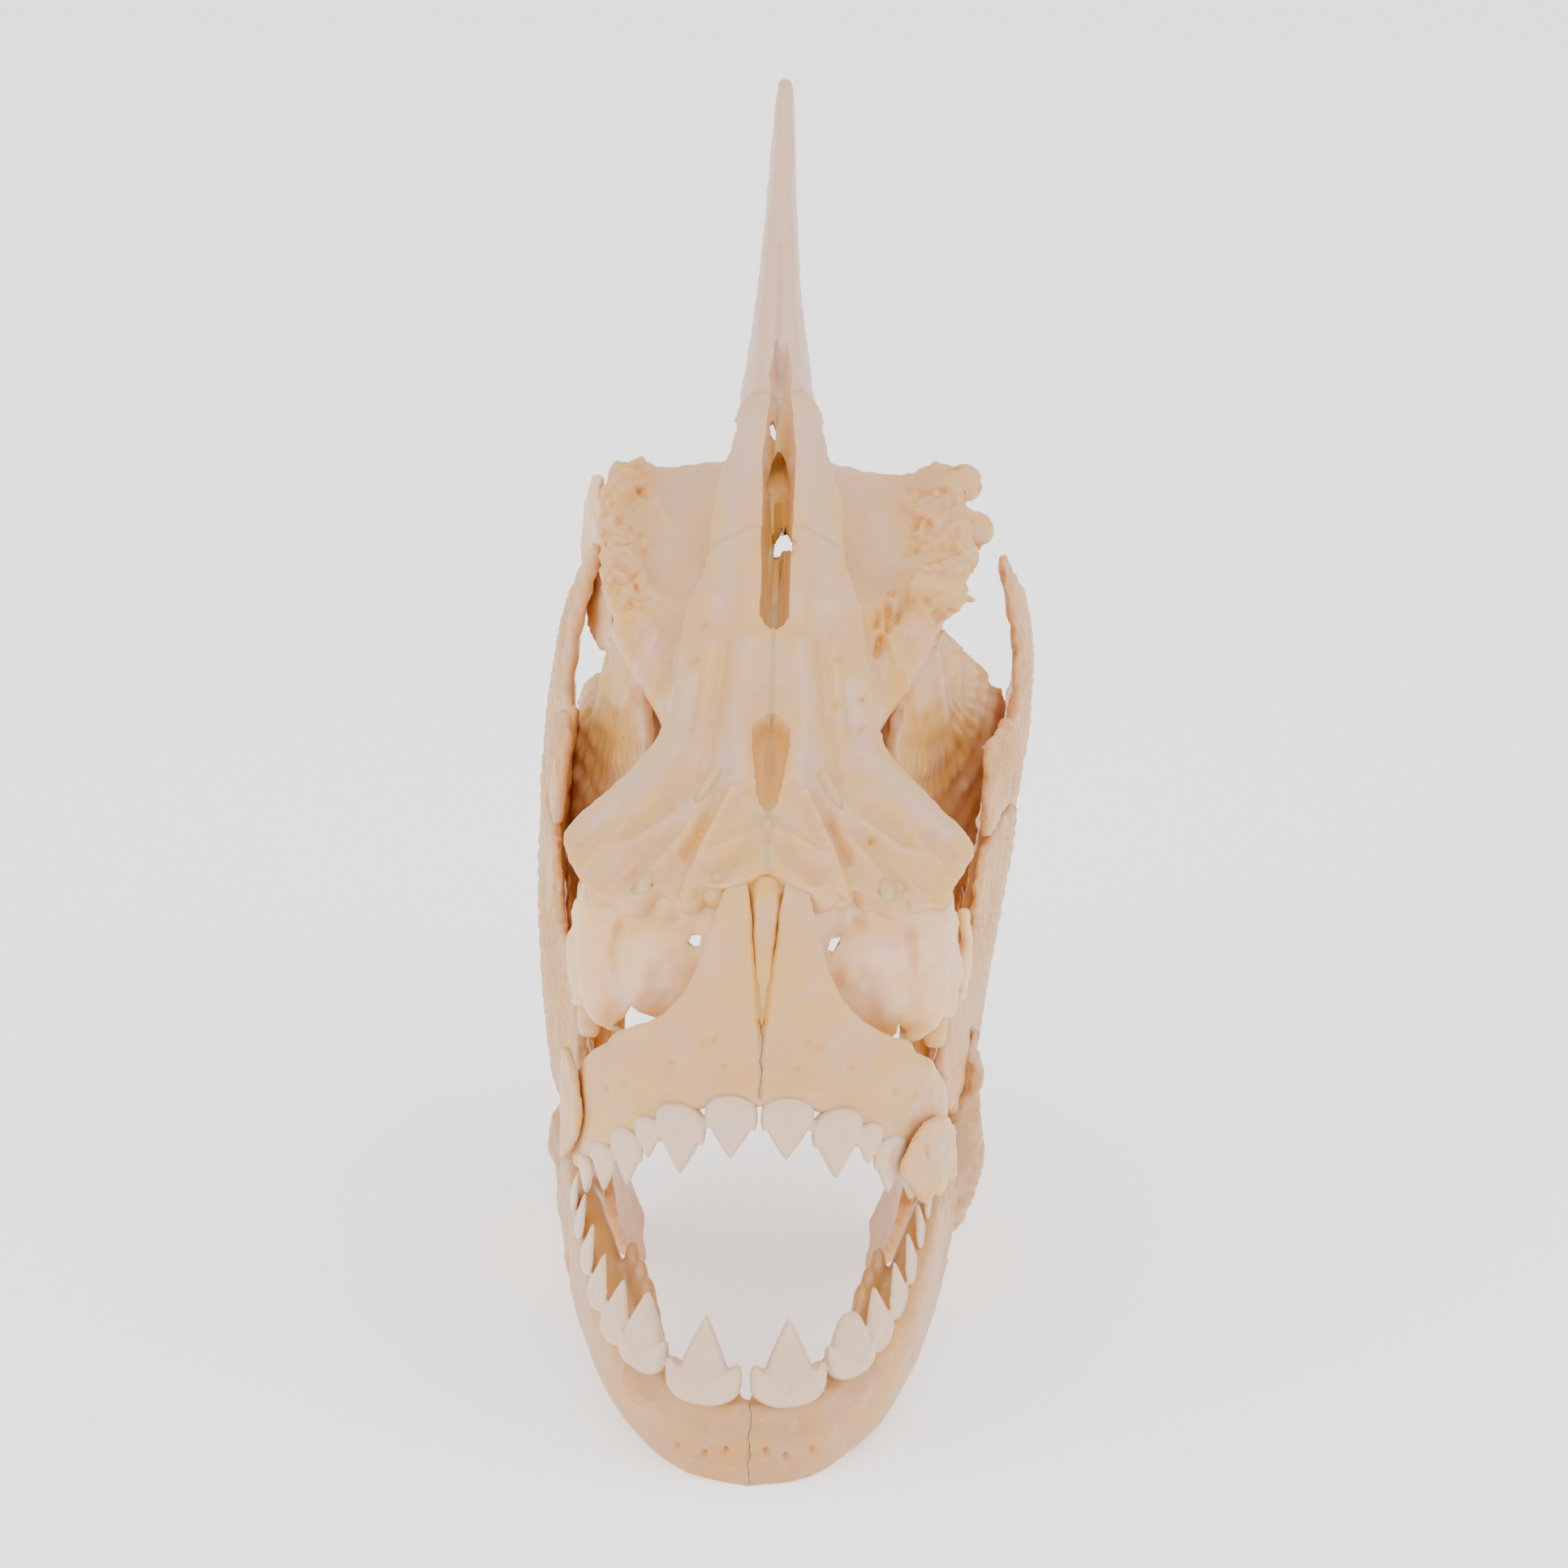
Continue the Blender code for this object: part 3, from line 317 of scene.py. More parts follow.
SLOT = ((29.9, 0.4, 52.6, 80), (30.4, 1, 52, 80), (31.3, 1.35, 51.6, 80),
        (36, 1.35, 54, 80), (41, 1.35, 56.8, 80), (44, 1.35, 59, 80),
        (46, 1.2, 61.2, 80), (47.6, 1.1, 63, 80), (49, 1, 64.8, 80),
        (50.4, 0.35, 66.4, 80))  # y, half width, floor and top of the long slot
FONTANELLE = ((14.7, 0.25, 44.2, 47.2), (15.4, 0.65, 44.45, 47.6), (17.6, 1.1, 45.45, 48.6),
              (20, 1.5, 46.75, 50.2), (21.8, 1.5, 47.6, 51.2), (22.7, 1, 48.2, 51.8),
              (23, 0.4, 48.7, 52))  # the same for the closed gap before it
HOLES = (((-0.35, 66.7), (0.4, 66.4), (1.15, 66.6), (1.2, 67.5), (0.8, 68.1), (0.2, 68), (-0.2, 67.4)),
         ((-0.78, 76), (-0.55, 76.2), (-0.3, 75.6), (-0.22, 74.9), (-0.45, 74.7), (-0.72, 75.3)))
CREST_LEVELS = (56.5, 62.5, 66, 71, 76, 80.5, 83.4, 84.6)
CREST_FRONT = (52.4, 51.6, 48.9, 51.9, 55.2, 58.2, 60.2, 61.3)
CREST_BACK = (57, 58.6, 60, 61.6, 63.2, 64.6, 65.2, 64.4)
CREST_HALF = (3.2, 3, 2.4, 1.75, 1.2, 0.88, 0.72, 0.5)


def rail(*stations):
    """Return a smooth curve through (place, value) pairs that runs level past both ends."""
    at, value = (np.array(row, float) for row in zip(*stations))
    slope = np.gradient(value, at)

    def curve(place):
        place = min(max(place, at[0]), at[-1])
        i = min(int(np.searchsorted(at, place, side="right")) - 1, len(at) - 2)
        span = at[i + 1] - at[i]
        f = (place - at[i]) / span
        start = (1 + 2 * f) * (1 - f) ** 2 * value[i] + f * (1 - f) ** 2 * span * slope[i]
        end = f * f * (3 - 2 * f) * value[i + 1] - f * f * (1 - f) * span * slope[i + 1]
        return float(start + end)

    return curve


def rails(places, *rows):
    """Return a smooth curve through each row of values, which share their places."""
    return [rail(*zip(places, row)) for row in rows]


def loft(rings):
    """Bridge closed rings with the same number of points, and cap both ends."""
    shell = bmesh.new()
    layers = [[shell.verts.new(point) for point in ring] for ring in rings]
    for low, high in zip(layers, layers[1:]):
        for i in range(len(low)):
            shell.faces.new((low[i - 1], low[i], high[i], high[i - 1]))
    shell.faces.new(layers[0])
    shell.faces.new(layers[-1])
    bmesh.ops.recalc_face_normals(shell, faces=shell.faces[:])
    return shell


def lump(centre, radii, detail=4):
    """Return a round swelling."""
    shell = bmesh.new()
    bmesh.ops.create_icosphere(shell, subdivisions=detail, radius=1)
    for vert in shell.verts:
        vert.co = Vector(vert.co[k] * radii[k] + centre[k] for k in range(3))
    return shell


def rod(path, radii):
    """Return a round bar along a path, with a radius at each of its points."""
    path = [Vector(point) for point in path]
    rings = []
    for i, (point, radius) in enumerate(zip(path, radii)):
        ahead = (path[min(i + 1, len(path) - 1)] - path[max(i - 1, 0)]).normalized()
        side = ahead.cross(Vector((0.13, 0.21, 0.97))).normalized()
        up = side.cross(ahead)
        turns = [math.tau * k / 12 for k in range(12)]
        rings.append([point + (side * math.cos(t) + up * math.sin(t)) * radius for t in turns])
    return loft(rings)


def flip(side, *places):
    """Return places that are given for the left, turned over to this side."""
    return [(x * side, *rest) for x, *rest in places]


def mirrored(side, *strokes):
    """Return strokes that are given for the left, turned over to this side."""
    return [(flip(side, *path), *rest) for path, *rest in strokes]


def rounded(corners, count):
    """Return a closed smooth curve of so many points through the corners."""
    corners = [Vector(point) for point in corners]
    size = len(corners)
    curve = []
    for k in range(count):
        whole = k * size / count
        i = int(whole)
        f = whole - i
        a, b, c, d = (corners[(i + n - 1) % size] for n in range(4))
        curve.append(0.5 * (2 * b + (c - a) * f + (2 * a - 5 * b + 4 * c - d) * f * f
                            + (3 * b - a - 3 * c + d) * f ** 3))
    return curve


def melt(piece):
    """Take an object out of the scene again, as a shell."""
    shell = bmesh.new()
    shell.from_mesh(piece.data)
    bpy.data.objects.remove(piece)
    return shell


def sheet(outline, surface, thick, cell, steps=6):
    """Return a plate: an outline, cut into cells and laid on a surface, with a thickness."""
    shell = bmesh.new()
    loop = rounded([(*point, 0) for point in outline], len(outline) * steps)
    shell.faces.new([shell.verts.new(point) for point in loop])
    for axis in (0, 1):
        low = min(point[axis] for point in loop)
        high = max(point[axis] for point in loop)
        count = max(1, round((high - low) / cell))
        for k in range(1, count):
            place = Vector((0, 0, 0))
            place[axis] = low + (high - low) * k / count
            normal = Vector((float(axis == 0), float(axis == 1), 0))
            geometry = shell.verts[:] + shell.edges[:] + shell.faces[:]
            bmesh.ops.bisect_plane(shell, geom=geometry, dist=1e-4, plane_co=place, plane_no=normal)
    bmesh.ops.remove_doubles(shell, verts=shell.verts[:], dist=0.05)
    bmesh.ops.triangulate(shell, faces=shell.faces[:])
    for edge in [edge for edge in shell.edges if not edge.link_faces]:
        shell.edges.remove(edge)
    for vert in shell.verts:
        vert.co = Vector(surface(vert.co.x, vert.co.y))
    holder = solidify("sheet", shell)
    wall = holder.modifiers.new("wall", "SOLIDIFY")
    wall.thickness = thick
    wall.offset = 0
    bake(holder)
    made = melt(holder)
    bmesh.ops.recalc_face_normals(made, faces=made.faces[:])
    return made


def cut(piece, shell, operation="DIFFERENCE"):
    """Take a closed shell out of a piece, or keep only what lies inside it."""
    tool = solidify("cutter", shell)
    step = piece.modifiers.new("cut", "BOOLEAN")
    step.operation = operation
    step.solver = "MANIFOLD"
    step.object = tool
    bake(piece)
    bpy.data.objects.remove(tool)


def crisp(piece):
    """Keep the edges of a cut sharp to the eye."""
    piece.data.set_sharp_from_angle(angle=CUT_ANGLE)


def part_off(piece, name, shell):
    """Cut a bone off a skin along a closed shell, and return it."""
    bone = hold(name, piece.data.copy())
    cut(bone, shell.copy(), "INTERSECT")
    cut(piece, shell)
    crisp(bone)
    return bone


def fillet(piece, rounds):
    """Fill creases between the parts of a piece, and leave what stands out as it is."""
    at, joins = points(piece), neighbours(piece)
    for turn in range(rounds):
        if turn % 8 == 0:
            put(piece, at)
            way = normals(piece)
        step = pull(at, *joins)
        out = np.einsum("ij,ij->i", step, way) > 0
        at[out] += 0.7 * step[out]
    put(piece, at)


def case_shell():
    """Return the smooth box of the braincase."""
    top, fossa_z, rim_x, rim_z, wall_x, side_x = rails(
        (28, 34, 40, 46, 52, 57), (50.5, 54, 57.5, 60, 60.5, 58), (48.8, 50.4, 52.6, 54.4, 56.2, 56.9),
        (5.4, 8.6, 12, 12.7, 12.6, 10.9), (46.8, 50, 53.4, 55.2, 57.4, 57.8),
        (4.6, 7.2, 10, 11.2, 10.6, 8.8), (3, 5.4, 8.2, 9.6, 8.4, 6))
    fossa_x = rail((28, 5), (34, 6.6), (40, 8), (46, 8.5), (57, 8.8))
    extra = rail((28, 0), (34, 0), (40, 1), (52, 1), (57, 1.6))
    rows = []
    for y in np.linspace(*CASE_ROWS):
        halves = []
        for side, wide in ((1, CASE_LEFT_RIM * extra(y)), (-1, 0)):
            halves.append([Vector((x * side, y, z)) for x, z in (
                (0.6 * fossa_x(y), 0.35 * top(y) + 0.65 * fossa_z(y)), (fossa_x(y), fossa_z(y)),
                (rim_x(y) + wide - 1, rim_z(y)), (rim_x(y) + wide, rim_z(y) - 1.1),
                (wall_x(y), 0.45 * rim_z(y) + 24.5), (side_x(y), 40), (0.7 * side_x(y), 35.9))])
        ring = [Vector((0, y, top(y))), *halves[0], Vector((0, y, 34.7)), *reversed(halves[1])]
        rows.append(rounded(ring, CASE_POINTS))
    return loft(rows)


def crumbs(shell, wanted, seed):
    """Scatter bony crumbs over the faces of a shell whose centres are wanted."""
    for face in [face for face in shell.faces if not wanted(face.calc_center_median())]:
        shell.faces.remove(face)
    holder = solidify("crumbs", shell)
    tree = bpy.data.node_groups.new("bony_crumbs", "GeometryNodeTree")
    tree.interface.new_socket("Geometry", in_out="INPUT", socket_type="NodeSocketGeometry")
    inputs = [tree.interface.new_socket(name, in_out="INPUT", socket_type="NodeSocketFloat").identifier
              for name in ("Crumb radius", "Crumbs per mm2")]
    tree.interface.new_socket("Geometry", in_out="OUTPUT", socket_type="NodeSocketGeometry")
    given = add(tree, "NodeGroupInput")
    spread = add(tree, "GeometryNodeDistributePointsOnFaces",
                 [("Mesh", given, "Geometry"), ("Density", given, "Crumbs per mm2")], {"Seed": seed})
    crumb = add(tree, "GeometryNodeMeshIcoSphere", [("Radius", given, "Crumb radius")],
                {"Subdivisions": 3})
    size = add(tree, "FunctionNodeRandomValue", (), {"Min": (0.5, 0.5, 0.4), "Max": (1.3, 1.3, 0.9),
                                                     "Seed": seed + 1}, data_type="FLOAT_VECTOR")
    placed = add(tree, "GeometryNodeInstanceOnPoints",
                 [("Points", spread, "Points"), ("Instance", crumb, "Mesh"),
                  ("Rotation", spread, "Rotation"), ("Scale", size, "Value")])
    real = add(tree, "GeometryNodeRealizeInstances", [("Geometry", placed, "Instances")])
    finished = add(tree, "GeometryNodeSetMaterial", [("Geometry", real, "Geometry")],
                   {"Material": COMPACT})
    add(tree, "NodeGroupOutput", [("Geometry", finished, "Geometry")])
    grown = holder.modifiers.new("crumbs", "NODES")
    grown.node_group = tree
    for identifier, value in zip(inputs, CRUMB):
        grown[identifier] = value
    bake(holder)
    return melt(holder)


def near_line(at, path, width):
    """Return 1 on a line drawn in the front view, falling off with distance from it.

    The line's points are millimetres from the middle and up the view, in which the skull's
    height shows shortened and its depth shows as some more height.
    """
    u, v = at[:, 0], at[:, 1] * math.sin(TILT) + at[:, 2] * math.cos(TILT)
    best = np.full(len(at), 1e9)
    path = path if len(path) > 1 else (path[0], (path[0][0] + 0.01, path[0][1]))
    for (u0, v0), (u1, v1) in zip(path, path[1:]):
        run = (u1 - u0) ** 2 + (v1 - v0) ** 2
        f = np.clip(((u - u0) * (u1 - u0) + (v - v0) * (v1 - v0)) / run, 0, 1)
        best = np.minimum(best, np.hypot(u - u0 - f * (u1 - u0), v - v0 - f * (v1 - v0)))
    return np.exp(-(best / width) ** 2)


def carve(piece, *strokes):
    """Raise ridges and sink grooves and pits on the front of a piece: (path, width, height)."""
    at, way = points(piece), normals(piece)
    facing = np.clip(way @ TO_EYE, 0, 1) ** 0.5
    rise = sum(height * near_line(at, path, width) for path, width, height in strokes)
    put(piece, at + way * (rise * facing)[:, None])


def oil(piece, *strokes, name="grease_and_shade", also=0.0):
    """Stain the front of a piece, with amber that is fat and, in gaps and deep places, painted shade,
    unless told otherwise: (path, width, strength).
    """
    at, way = points(piece), normals(piece)
    facing = np.clip(way @ TO_EYE + 0.3, 0, 1)
    mark(piece, name, also + facing * sum(s * near_line(at, path, width) for path, width, s in strokes))


def dried(piece):
    """Return how dry and pale bone is by its height, up to the tip of the crest."""
    return 0.85 * np.clip((points(piece)[:, 2] - DRY_FROM) / 9, 0, 1)


def crumbled(centre):
    """Say whether a place on the braincase is spongy: its outer corners and the rim before them."""
    return abs(centre.x) > 9.6 and centre.y > 38 and centre.z > 50


def roof_surface(x, y, thick=ROOF_THICK):
    """Return the middle of the roof's plate over a place on the plan."""
    reach = min(abs(x) / edge_x(y), 1.15)
    return x, y, roof_z(y) - (roof_z(y) - edge_z(y)) * reach ** 1.7 - thick / 2


def full(value, power):
    """Bring a sine or cosine nearer to 1 or -1, which squares off the round that it makes."""
    return math.copysign(abs(value) ** power, value)


def section(corners):
    """Return points round a four-cornered section, with its corners rounded off."""
    ring = []
    for k in range(SECTION_POINTS):
        turn = math.tau * (k + 0.5) / SECTION_POINTS
        across = 0.5 + 0.5 * full(math.cos(turn), 0.7)
        up = 0.5 + 0.5 * full(math.sin(turn), 0.7)
        ring.append(corners[0].lerp(corners[1], across).lerp(corners[3].lerp(corners[2], across), up))
    return ring


def trench(rows):
    """Return a cutter for a long groove, from rows of y, half width, floor and top."""
    corners = ((-1, 0), (1, 0), (1, 1), (-1, 1))
    return loft([section([Vector((x * half, y, (low, high)[up])) for x, up in corners])
                 for y, half, low, high in rows])


def pierce(piece, outline, near, far):
    """Make a hole with this outline in the front view, between two depths."""
    cut(piece, loft([[Vector((u, y, (v - y * math.sin(TILT)) / math.cos(TILT))) for u, v in outline]
                     for y in (near, far)]))


def sponge(at):
    """Return how deep the pores of spongy bone are at places on the braincase's outer corners."""
    share = np.clip((np.abs(at[:, 0]) - 8.6) / 1.6, 0, 1) * np.clip((at[:, 1] - 36.5) / 1.5, 0, 1)
    share *= np.clip((at[:, 2] - 49.5) / 1.5, 0, 1)
    return share * np.clip(grit(at, 1.1, 9) + 0.7 * grit(at, 0.55, 10) - 0.05, 0, 1)


def crest_ring(z, swell=0.0):
    """Return the section of the crest at a height."""
    near, far, half = crest_front(z) - swell, crest_back(z) + swell, crest_half(z) + swell
    ring = []
    for k in range(48):
        turn = math.tau * k / 48
        bulge = full(math.sin(turn), 0.7)
        ring.append(Vector((crest_lean(z) + half * (0.9 + 0.1 * math.cos(turn)) * bulge,
                            (near + far) / 2 - (far - near) / 2 * full(math.cos(turn), 0.8), z)))
    return ring


roof_z = rail(*ROOF)
edge_z, edge_x = rails(EDGE_Y, EDGE_Z, EDGE_X)
roof_wide = rail(*((y, x) for x, y in ROOF_OUTLINE[5:-1]))
crest_lean = rail((56, 0), (63, -0.2), (70, -0.35), (84.6, -0.35))
crest_front, crest_back, crest_half = rails(CREST_LEVELS, CREST_FRONT, CREST_BACK, CREST_HALF)
plan = [*ROOF_OUTLINE[:-1], *[(-x, y) for x, y in reversed(ROOF_OUTLINE[1:-1])]]
shells = [case_shell(), crumbs(case_shell(), crumbled, CRUMB_SEED), rod(CASE_SPIKE, (2, 1.3, 0.35)),
          *[lump((x, y, z), (r, 1.3 * r, r)) for x, y, z, r in CASE_KNOBS],
          *[lump((x, y, z), (r, r, r), 3) for x, y, z, r in WING_LUMPS],
          sheet(plan, roof_surface, ROOF_THICK, 1),
          loft([crest_ring(z) for z in np.linspace(CREST_LEVELS[0], CREST_LEVELS[-1], 90)])]
for side in (1, -1):
    ridge = [(0.5 * roof_wide(y) + 0.75, y, roof_surface(0.5 * roof_wide(y) + 0.75, y)[2] - 0.55)
             for y in np.linspace(34, 50.5, 14)]
    skirt = [(roof_wide(y) - 0.5, y, roof_surface(roof_wide(y), y)[2] - 1.2)
             for y in np.linspace(27.5, 50, 16)]
    wall = ((10.6, 39.6, 50.6), (9.2, 37, 49.6), (7.6, 33.6, 48), (6.4, 30, 46.4))
    brow = [(x, y, roof_surface(x, y)[2] - 0.2) for x, y in (
        (5.6, 30), (6, 27.2), (7.6, 24.4), (10, 21.9), (12.4, 19.9), (13.5, 18.2))]
    for path, radii in (
            (ridge, np.interp(np.linspace(0, 1, 14), (0, 0.3, 0.7, 1), (0.9, 1.4, 1.2, 0.5))),
            (skirt, np.interp(np.linspace(0, 1, 16), (0, 0.7, 1), (1.5, 1.3, 0.4))),
            (wall, (1.5, 1.7, 1.6, 1.2)), (brow, (1, 1.05, 1.05, 1, 0.9, 0.6))):
        shells.append(rod(flip(side, *path), radii))
skin = grow("braincase_bone", shells, ROOF_GRAIN, 5, 0.03)
fillet(skin, 110)
cut(skin, trench(SLOT))
cut(skin, trench(FONTANELLE))
for outline in HOLES:
    pierce(skin, outline, 30, 64)
relax(skin, 3)
roughen(skin, (3.4, 0.13, 3), (1.2, 0.055, 5))
put(skin, points(skin) - normals(skin) * (0.6 * sponge(points(skin)))[:, None])
SLITS = [[(8.2, 62.9), (8.2, 61.3)], [(7.6, 62.4), (7.4, 61.6)], [(8.9, 62.6), (8.7, 61.9)],
         [(7.7, 60.8), (7.5, 59.4)], [(8.3, 63.8), (8.5, 63.8)]]
PITS = ((6.4, 53.9), (6.4, 56), (6.2, 42.2), (4.6, 55.6), (4.7, 58.9), (-6.2, 42), (7.4, 46.1),
        (12.2, 42), (-5.6, 58.6), (-5, 61.2), (0.1, 43))
carve(skin,
      ([(4.6, 63), (6.6, 62.6), (9, 64.2), (11.6, 66.4)], 0.7, 0.45),
      ([(-4.6, 63), (-6.8, 62.2), (-9.4, 63.6), (-10.4, 66.2), (-12.4, 67.4)], 0.7, 0.6),
      ([(-11.8, 70.6), (-10.2, 71.2)], 0.5, 0.45), ([(-9, 70.4), (-8.2, 69.2)], 0.45, 0.4),
      ([(9.4, 70.6), (10.8, 69.4)], 0.45, 0.4), ([(11.4, 68.6), (12.6, 70.2)], 0.5, -0.35),
      ([(-7, 70), (-6, 66)], 1.3, -0.3), ([(6.6, 70), (6.4, 66)], 1.3, -0.3),
      *[(slit, 0.22, -0.7) for slit in SLITS], *[([pit], 0.32, -0.35) for pit in PITS])
for side in (1, -1):
    carve(skin, *mirrored(side,
        ([(6, 57), (6.6, 52.6), (9.6, 49.6), (13.2, 46.4)], 0.9, 0.6),
        ([(1.8, 60), (2.4, 55), (2, 49)], 0.7, 0.45), ([(3.4, 50), (6, 47.4), (11.6, 44.4)], 0.6, 0.75),
        ([(3.6, 50), (5.6, 46), (8.6, 42.4)], 0.5, 0.85),
        ([(2.6, 49), (4.4, 45.4), (5.6, 42)], 0.45, 0.75), ([(10.4, 46.4), (12.8, 43.4)], 0.35, 0.4),
        ([(7, 46.6), (10.8, 42.4)], 0.3, 0.35), ([(11.6, 46.6), (13.4, 45.2)], 0.3, -0.35),
        ([(5, 57), (5.6, 53.4)], 0.3, -0.25), ([(7.4, 48.2), (9.6, 46)], 0.7, -0.7),
        ([(4.4, 47.2), (5.6, 44.6)], 0.5, -0.6), ([(7.6, 46), (9.8, 43)], 0.6, -0.6),
        ([(1.4, 45.6), (3.6, 43.4)], 0.7, -0.65), ([(0, 46.8), (1.8, 45.8), (4, 44.6)], 0.55, 0.65),
        ([(4.4, 60), (5, 54), (5.6, 50)], 0.5, 0.36), ([(3.4, 60), (4, 54), (4.5, 50.4)], 0.45, -0.36),
        ([(0, 48), (1.5, 51), (1.6, 53.2), (0, 54.8)], 0.4, 0.16),
        ([(2, 62), (2.2, 70), (1.8, 78)], 0.5, 0.2), ([(3.4, 66), (3.1, 72), (2.3, 78)], 0.45, -0.16),
        ([(8.4, 60.4), (9.8, 56.6), (10.5, 53)], 0.45, 0.5),
        ([(7.6, 58.4), (8.6, 55), (9, 52)], 0.35, -0.35),
        ([(9.6, 60.6), (11, 57), (11.4, 54)], 0.35, -0.3), ([(7, 56.6), (7.8, 53.6)], 0.4, 0.3)))
# Upright fibres of the crest, which begin above the roof, drawn coarser than life
at, way = points(skin), normals(skin)
upper = np.clip((at[:, 2] - 64) / 3, 0, 1)
fibres = grit(at * np.array((1, 1, 0.12)), 0.55, 41) * 0.035 * upper
put(skin, at + way * fibres[:, None])
carve(skin, ([(-0.35, 79.5), (-0.35, 83), (-0.3, 89)], 0.28, -0.3))
crest = part_off(skin, "supraoccipital_crest_bone",
                 loft([crest_ring(z, 0.35) for z in (*np.linspace(63.6, 84.6, 40), 90)]))
for side, label in SIDES:
    # Two points on each corner keep the cuts straight
    rows = np.linspace(ROOF_SUTURE, 51.5, 12)
    band = [(0, rows[0]), *[(roof_wide(y) + 0.7, y) for y in rows], (0, rows[-1])]
    band = [place for place in flip(side, *band) for _ in range(2)]
    band = sheet(band, lambda x, y: roof_surface(x, y, 2.6), 5.2, 1.6, 1)
    parietal = part_off(skin, f"parietal_{label}_bone", band)
    front = [(0, 9), (2.2, 9.4), (6, 10.8), (10, 11.6), (13.4, 14), (15.4, 18.9),
             (13.4, 21.6), (10.4, 24.4), (8, 27), (6.9, 29.6), (6.7, 33.2), (5.8, 36.4),
             (5, ROOF_SUTURE), (0, ROOF_SUTURE)]
    front = [place for place in flip(side, *front) for _ in range(2)]
    frontal = part_off(skin, f"frontal_{label}_bone", sheet(front, roof_surface, 3.8, 1.6, 1))
    for bone, node in ((parietal, "parietal_" + label), (frontal, "frontal_" + label)):
        # The strokes down the middle, over the slot and the closed gap, are fat darkened to painted
        # shade.
        oil(bone, *[([pit], 0.36, 0.6) for pit in PITS], *mirrored(side,
            ([(0.4, 41.6), (0.8, 43.6)], 0.9, 0.35), ([(9, 43), (10.4, 45.4)], 0.8, 0.15),
            ([(0, 61.6), (0, 73.4)], 1.05, 0.8), ([(0, 75.4)], 0.9, 0.3),
            ([(0, 49.6), (0, 52.8)], 1.2, 1), ([(7.4, 64.6), (5.2, 67.4)], 0.5, 0.2),
            ([(8, 48), (9.8, 46)], 0.7, 0.22), ([(4.6, 47), (5.6, 44.6)], 0.5, 0.2),
            ([(7.8, 45.6), (9.8, 43)], 0.5, 0.2), ([(1.6, 45.4), (3.4, 43.4)], 0.6, 0.2),
            ([(3.7, 59), (4.4, 51)], 0.4, 0.18)))
        # The pale strokes along the ridges are painted highlights, over bone drying paler with height.
        oil(bone, *mirrored(side,
            ([(6, 57), (6.6, 52.6), (9.6, 49.6), (12.6, 46.6)], 0.8, 0.8),
            ([(2.2, 60), (2.6, 55), (2.3, 49.6)], 0.5, 0.6),
            ([(3.6, 50), (6.2, 47.4), (11, 44.6)], 0.6, 0.5),
            ([(4, 62), (3.2, 68), (2.4, 76)], 0.9, 0.7),
            ([(3.0, 51.6)], 1.2, 0.8)), name="edge", also=dried(bone))
        seat(bone, COMPACT, "dense_bone", node)
crisp(skin)
# The strokes down the slot and the closed gap are fat darkened to painted shade.
oil(skin, *[(slit, 0.28, 0.8) for slit in SLITS],
    ([(-12, 70), (-9.6, 71.6)], 1.2, 0.2), ([(10, 70.2), (12.4, 71.6)], 1.2, 0.2),
    ([(10.6, 62.6), (10.4, 66)], 0.5, 0.25), ([(0, 60.6), (0, 74)], 1.3, 0.8),
    ([(0, 48.8), (0, 53.4)], 1.3, 1),
    ([(-13.2, 66), (-11, 62), (-9.6, 58)], 0.7, 0.3), ([(9.2, 58), (9.4, 55.4)], 0.8, 0.6),
    also=0.75 * sponge(points(skin)))
# These pale strokes are painted highlights, among them a glossy band down the right side, over bone
# drying paler with height.
oil(skin, ([(-8.6, 60), (-9.8, 57), (-10.6, 53.6)], 0.6, 0.9),
    ([(-12.8, 66), (-13.2, 70)], 0.8, 0.6), ([(-6.8, 72), (-8, 66)], 1.4, 0.5),
    ([(7.0, 72.0), (8.0, 67.0)], 1.4, 0.4), name="edge", also=dried(skin))
seat(skin, COMPACT, "dense_bone", "braincase")
# The crest: the same bone, but drier and paler towards its tip, where no fat was left
CREST_COMPACT = bone_finish("crest_bone", "#D4A884", "#D7AA70", "#DDAE62", "#D4AF9C", 0.40, 0.30, 0.20)
oil(crest, ([(-0.3, 70), (-0.3, 74.6)], 0.9, 0.5))
mark(crest, "edge", dried(crest))
seat(crest, CREST_COMPACT, "crest_bone", "supraoccipital_crest", fat_and_shade=0.35)

# The snout's middle block and the swollen walls between nose and eye.
# The walls are paper-thin bone, swollen and pierced; the block is compact and ends in a narrow spine.
SNOUT_GRAIN = 0.24
# The walls: paler and pinker than the other bone, as painted light for the light that comes through them
# from behind and against the shade they lie in
NOSE = bone_finish("nose_wall_bone", "#EEC29A", "#ECC27E", "#EEC26C", "#ECC8B2", 0.60, 0.30, 0.20)
NOSE_HOLES = {1: (((4.5, 38.2), (4.7, 39), (5.5, 39.2), (5.2, 38.6), (4.9, 38)),
                  ((8.8, 31.6), (9.6, 32.4), (9.7, 33.1), (10.3, 32.6), (10.2, 31.7), (9.4, 31.3))),
              -1: (((-5.4, 38.4), (-5.2, 39), (-4.5, 39), (-4.6, 38.2), (-5, 38.1)),
                   ((-10.5, 32.4), (-9.8, 33), (-9.4, 33.8), (-8.7, 33.3), (-7.2, 32.9), (-8.4, 32.2),
                    (-9.8, 31.9)))}  # outlines in the front view of the holes on each side
OUTER_ROD = (((13.2, 16.4, 29.8), (13.6, 16.8, 34), (13.2, 16.6, 37.8)), (0.5, 0.55, 0.4))
SPARE_ROD = (((14.1, 18.6, 30.4), (14.4, 18.4, 35), (14, 17.6, 37.6)), (0.5, 0.5, 0.4))
